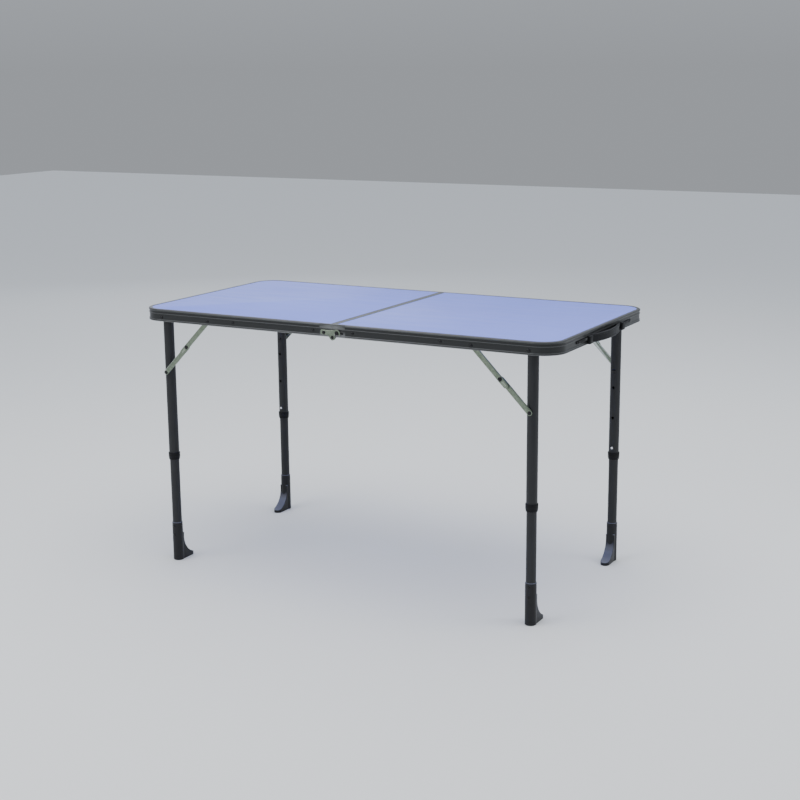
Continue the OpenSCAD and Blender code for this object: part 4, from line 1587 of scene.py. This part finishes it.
@dataclass
class Brace:
    """A two-link pressed brace, drawn along +X and turned down to its slope."""

    datum: Datum
    half: Half
    row: Row
    reach: float = 148.0
    drop: float = 150.0
    width: float = 13.0
    tail: float = 20.0
    sheet_t: float = 1.6

    @property
    def link(self) -> float:
        """Distance between a link's two pivots."""
        return math.hypot(self.reach, self.drop) / 2

    def _on_link(self, along: float) -> Matrix:
        """The place of a point along the brace, turned to the brace's slope."""
        d = self.datum
        slope = math.atan2(self.drop, self.reach)
        return (
            Matrix.Translation((d.rail_x, 0.0, d.pivot_z))
            @ Matrix.Rotation(slope, 4, "Y")
            @ Matrix.Translation((along, 0.0, 0.0))
        )

    def _pressing(self, x1: float, outer: float, flange: float) -> Blank:
        """A round-ended strip with one long edge turned in.

        Args:
            x1: distance between the centres of its round ends.
            outer: Y of its outer face.
            flange: how far the turned edge goes in past the strip.

        Returns:
            The strip along +X.
        """
        r = self.width / 2
        web = Blank.plate(
            [(-r, -r), (x1 + r, -r), (x1 + r, r), (-r, r)], self.sheet_t,
            {i: r - 0.02 for i in range(4)}, 8,
        )
        web.place(Matrix.Translation((0.0, outer - self.sheet_t, 0.0)) @ UPRIGHT)
        turned = Blank.block(
            (0.6, outer - self.sheet_t - flange, r - 1.3), (x1 - 0.6, outer - 0.02, r - 0.01)
        )
        return web.combine(turned, Join.FUSE).tidy()

    def _upper(self) -> Blank:
        """The upper link, with its tail past the elbow and two pressed pips."""
        outer = self.datum.upper_link_y[1]
        strip = self._pressing(self.link + self.tail, outer, 2.7).ease(0.35, 2, 40.0)
        for x in (self.link + 11, self.link + 15, self.link + self.tail - 1):
            pip = Blank.turned([(0.0, 0.0), (2.0, 0.0), (1.6, 0.4), (0.8, 0.58), (0.0, 0.6)], 20)
            strip.add(pip.place(Matrix.Translation((x, outer - 0.02, 0.0)) @ ALONG_Y))
        return strip.place(self._on_link(0.0))

    def _elbow(self) -> Blank:
        """The elbow rivet with the spacer between the links."""
        d = self.datum
        up_in, up_out = d.upper_link_y
        low_in, low_out = d.lower_link_y
        rivet = Rivet(3.0, low_in - 1.6, 5.0, 1.3, up_out, 5.5, 1.3).blank(0.0, 0.0)
        rivet.add(washer(0.0, 0.0, 3.0, 5.0, low_out + d.run, up_in))
        return rivet.place(self._on_link(self.link))

    def _lower(self) -> Blank:
        """The lower link, with the boss that reaches in to the leg."""
        d = self.datum
        low_in, low_out = d.lower_link_y
        strip = self._pressing(self.link, low_out, 2.4).ease(0.35, 2, 40.0)
        boss = washer(self.link, 0.0, 0.8, 4.6, d.leg_y + d.upper_r + 0.4, low_in + 0.1)
        return strip.add(boss).place(self._on_link(self.link))

    def _end_pin(self) -> Blank:
        """The black rivet through the lower link's end and its boss."""
        low_in, low_out = self.datum.lower_link_y
        pin = Rivet(3.0, low_in - 0.6, 3.0, 0.0, low_out, 5.0, 1.3, 1.1)
        return pin.blank(self.link, 0.0).place(self._on_link(self.link))

    def build(self) -> None:
        """Makes and fits the brace's links, elbow rivet and end pin."""
        code = corner_code(self.half, self.row)
        home = self.datum.quarter(self.half, self.row)
        jobs = (
            (self._upper(), "upper_link", "upper_brace", ZINC),
            (self._elbow(), "elbow_rivet", "upper_brace", RIVET),
            (self._lower(), "lower_link", "lower_brace", ZINC),
        )
        for blank, kind, body, finish in jobs:
            node = f"{code}_{kind}"
            fit_out(blank.place(home), f"{node}_made", f"{code}_{body}", finish, [node], 40.0)
        fit_out(
            self._end_pin().place(home), f"{code}_end_pin_made", f"{code}_lower_brace", RIVET,
            [f"{code}_lower_link"], 40.0,
        )


# ---------------------------------------------------------------------------
# Stage
# ---------------------------------------------------------------------------


@dataclass(frozen=True)
class SoftBox:
    """A large soft lamp."""

    name: str
    place: tuple[float, float, float]
    aim: tuple[float, float, float]
    width: float
    height: float
    watts: float
    tint: Rgb = (1.0, 1.0, 1.0)

    def build(self) -> None:
        """Hangs the lamp."""
        lamp = bpy.data.lights.new(self.name, "AREA")
        lamp.shape, lamp.size, lamp.size_y = "RECTANGLE", self.width, self.height
        lamp.energy, lamp.color = self.watts, self.tint
        thing = bpy.data.objects.new(self.name, lamp)
        away = Vector(self.aim) - Vector(self.place)
        thing.rotation_euler = away.to_track_quat("-Z", "Y").to_euler()
        thing.location = self.place
        bpy.context.scene.collection.objects.link(thing)


@dataclass(frozen=True)
class Studio:
    """The pale floor, the soft light and the camera."""

    azimuth: float = 29.071
    elevation: float = 12.716
    roll: float = -0.525
    lens: float = 66.252
    eye: tuple[float, float, float] = (1.87807, -3.35388, 1.31641)
    zenith: Rgb = (0.82, 0.89, 1.0)
    horizon: Rgb = (0.40, 0.42, 0.45)
    sky_strength: float = 0.85

    def _floor(self) -> None:
        """A wide plain floor."""
        mesh = bpy.data.meshes.new("floor")
        bm = bmesh.new()
        bmesh.ops.create_grid(bm, x_segments=1, y_segments=1, size=12.0)
        bm.to_mesh(mesh)
        bm.free()
        mesh.materials.append(PaleFloor("floor", "pale floor").material())
        floor = bpy.data.objects.new("floor", mesh)
        bpy.context.scene.collection.objects.link(floor)

    def _world(self) -> None:
        """A surround that darkens towards the horizon."""
        world = bpy.data.worlds.new("surround")
        world.use_nodes = True
        nodes, links = world.node_tree.nodes, world.node_tree.links
        ground = nodes["Background"]
        ground.inputs["Strength"].default_value = self.sky_strength
        coords = nodes.new("ShaderNodeTexCoord")
        axes = nodes.new("ShaderNodeSeparateXYZ")
        rise = nodes.new("ShaderNodeMapRange")
        rise.inputs["From Min"].default_value = 0.0
        rise.inputs["From Max"].default_value = 0.40
        tint = nodes.new("ShaderNodeMix")
        tint.data_type = "RGBA"
        tint.inputs[6].default_value = (*self.horizon, 1.0)
        tint.inputs[7].default_value = (*self.zenith, 1.0)
        links.new(coords.outputs["Generated"], axes.inputs["Vector"])
        links.new(axes.outputs["Z"], rise.inputs["Value"])
        links.new(rise.outputs["Result"], tint.inputs["Factor"])
        links.new(tint.outputs[2], ground.inputs["Color"])
        bpy.context.scene.world = world

    def _camera(self) -> None:
        """The camera, set by its compass direction, tilt and roll."""
        az, el, roll = (math.radians(v) for v in (self.azimuth, self.elevation, self.roll))
        ahead = Vector((-math.sin(az) * math.cos(el), math.cos(az) * math.cos(el), -math.sin(el)))
        level = Vector((math.cos(az), math.sin(az), 0.0))
        top = level.cross(ahead)
        right = level * math.cos(roll) + top * math.sin(roll)
        top = right.cross(ahead)
        turn = Matrix((right, top, -ahead)).transposed().to_4x4()
        camera = bpy.data.cameras.new("camera")
        camera.lens, camera.sensor_width = self.lens, 36.0
        camera.clip_end = 100.0
        thing = bpy.data.objects.new("camera", camera)
        thing.matrix_world = Matrix.Translation(self.eye) @ turn
        bpy.context.scene.collection.objects.link(thing)
        bpy.context.scene.camera = thing

    def build(self) -> None:
        """Sets the stage."""
        self._camera()
        self._floor()
        self._world()
        lamps = (
            SoftBox("overhead", (0.3, -0.4, 3.6), (0, 0, 0.5), 3.6, 3.0, 90.0),
            SoftBox("front", (-2.2, -3.4, 2.2), (0, 0, 0.4), 2.4, 1.8, 60.0),
            SoftBox("back", (-0.6, 2.4, 3.4), (0, 0, 0.6), 3.0, 1.6, 30.0, (0.88, 0.92, 1.0)),
            SoftBox("far left", (-3.6, 4.1, 1.8), (0, 0, 0.6), 2.4, 1.4, 12.0, (0.84, 0.90, 1.0)),
            SoftBox("right", (3.6, 0.8, 2.3), (0.3, 0, 0.6), 1.8, 1.4, 30.0),
        )
        for lamp in lamps:
            lamp.build()


def main() -> None:
    """Loads the frame, sets the stage and builds every sub-assembly in order."""
    logging.basicConfig(level=logging.INFO, format="%(name)s: %(message)s")
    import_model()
    Studio().build()
    datum = Datum.from_frame()
    LOG.info("seam at %.2f mm, legs at %.1f, %.1f mm", datum.seam_x, datum.leg_x, datum.leg_y)
    for half in Half:
        TopHalf(datum, half).build()
    SeamHardware(datum).build()
    CarryHandle(datum).build()
    for half in Half:
        LegPair(datum, half).build()
        for row in Row:
            LowerLeg(datum, half, row).build()
            Brace(datum, half, row).build()


if __name__ == "__main__":
    main()
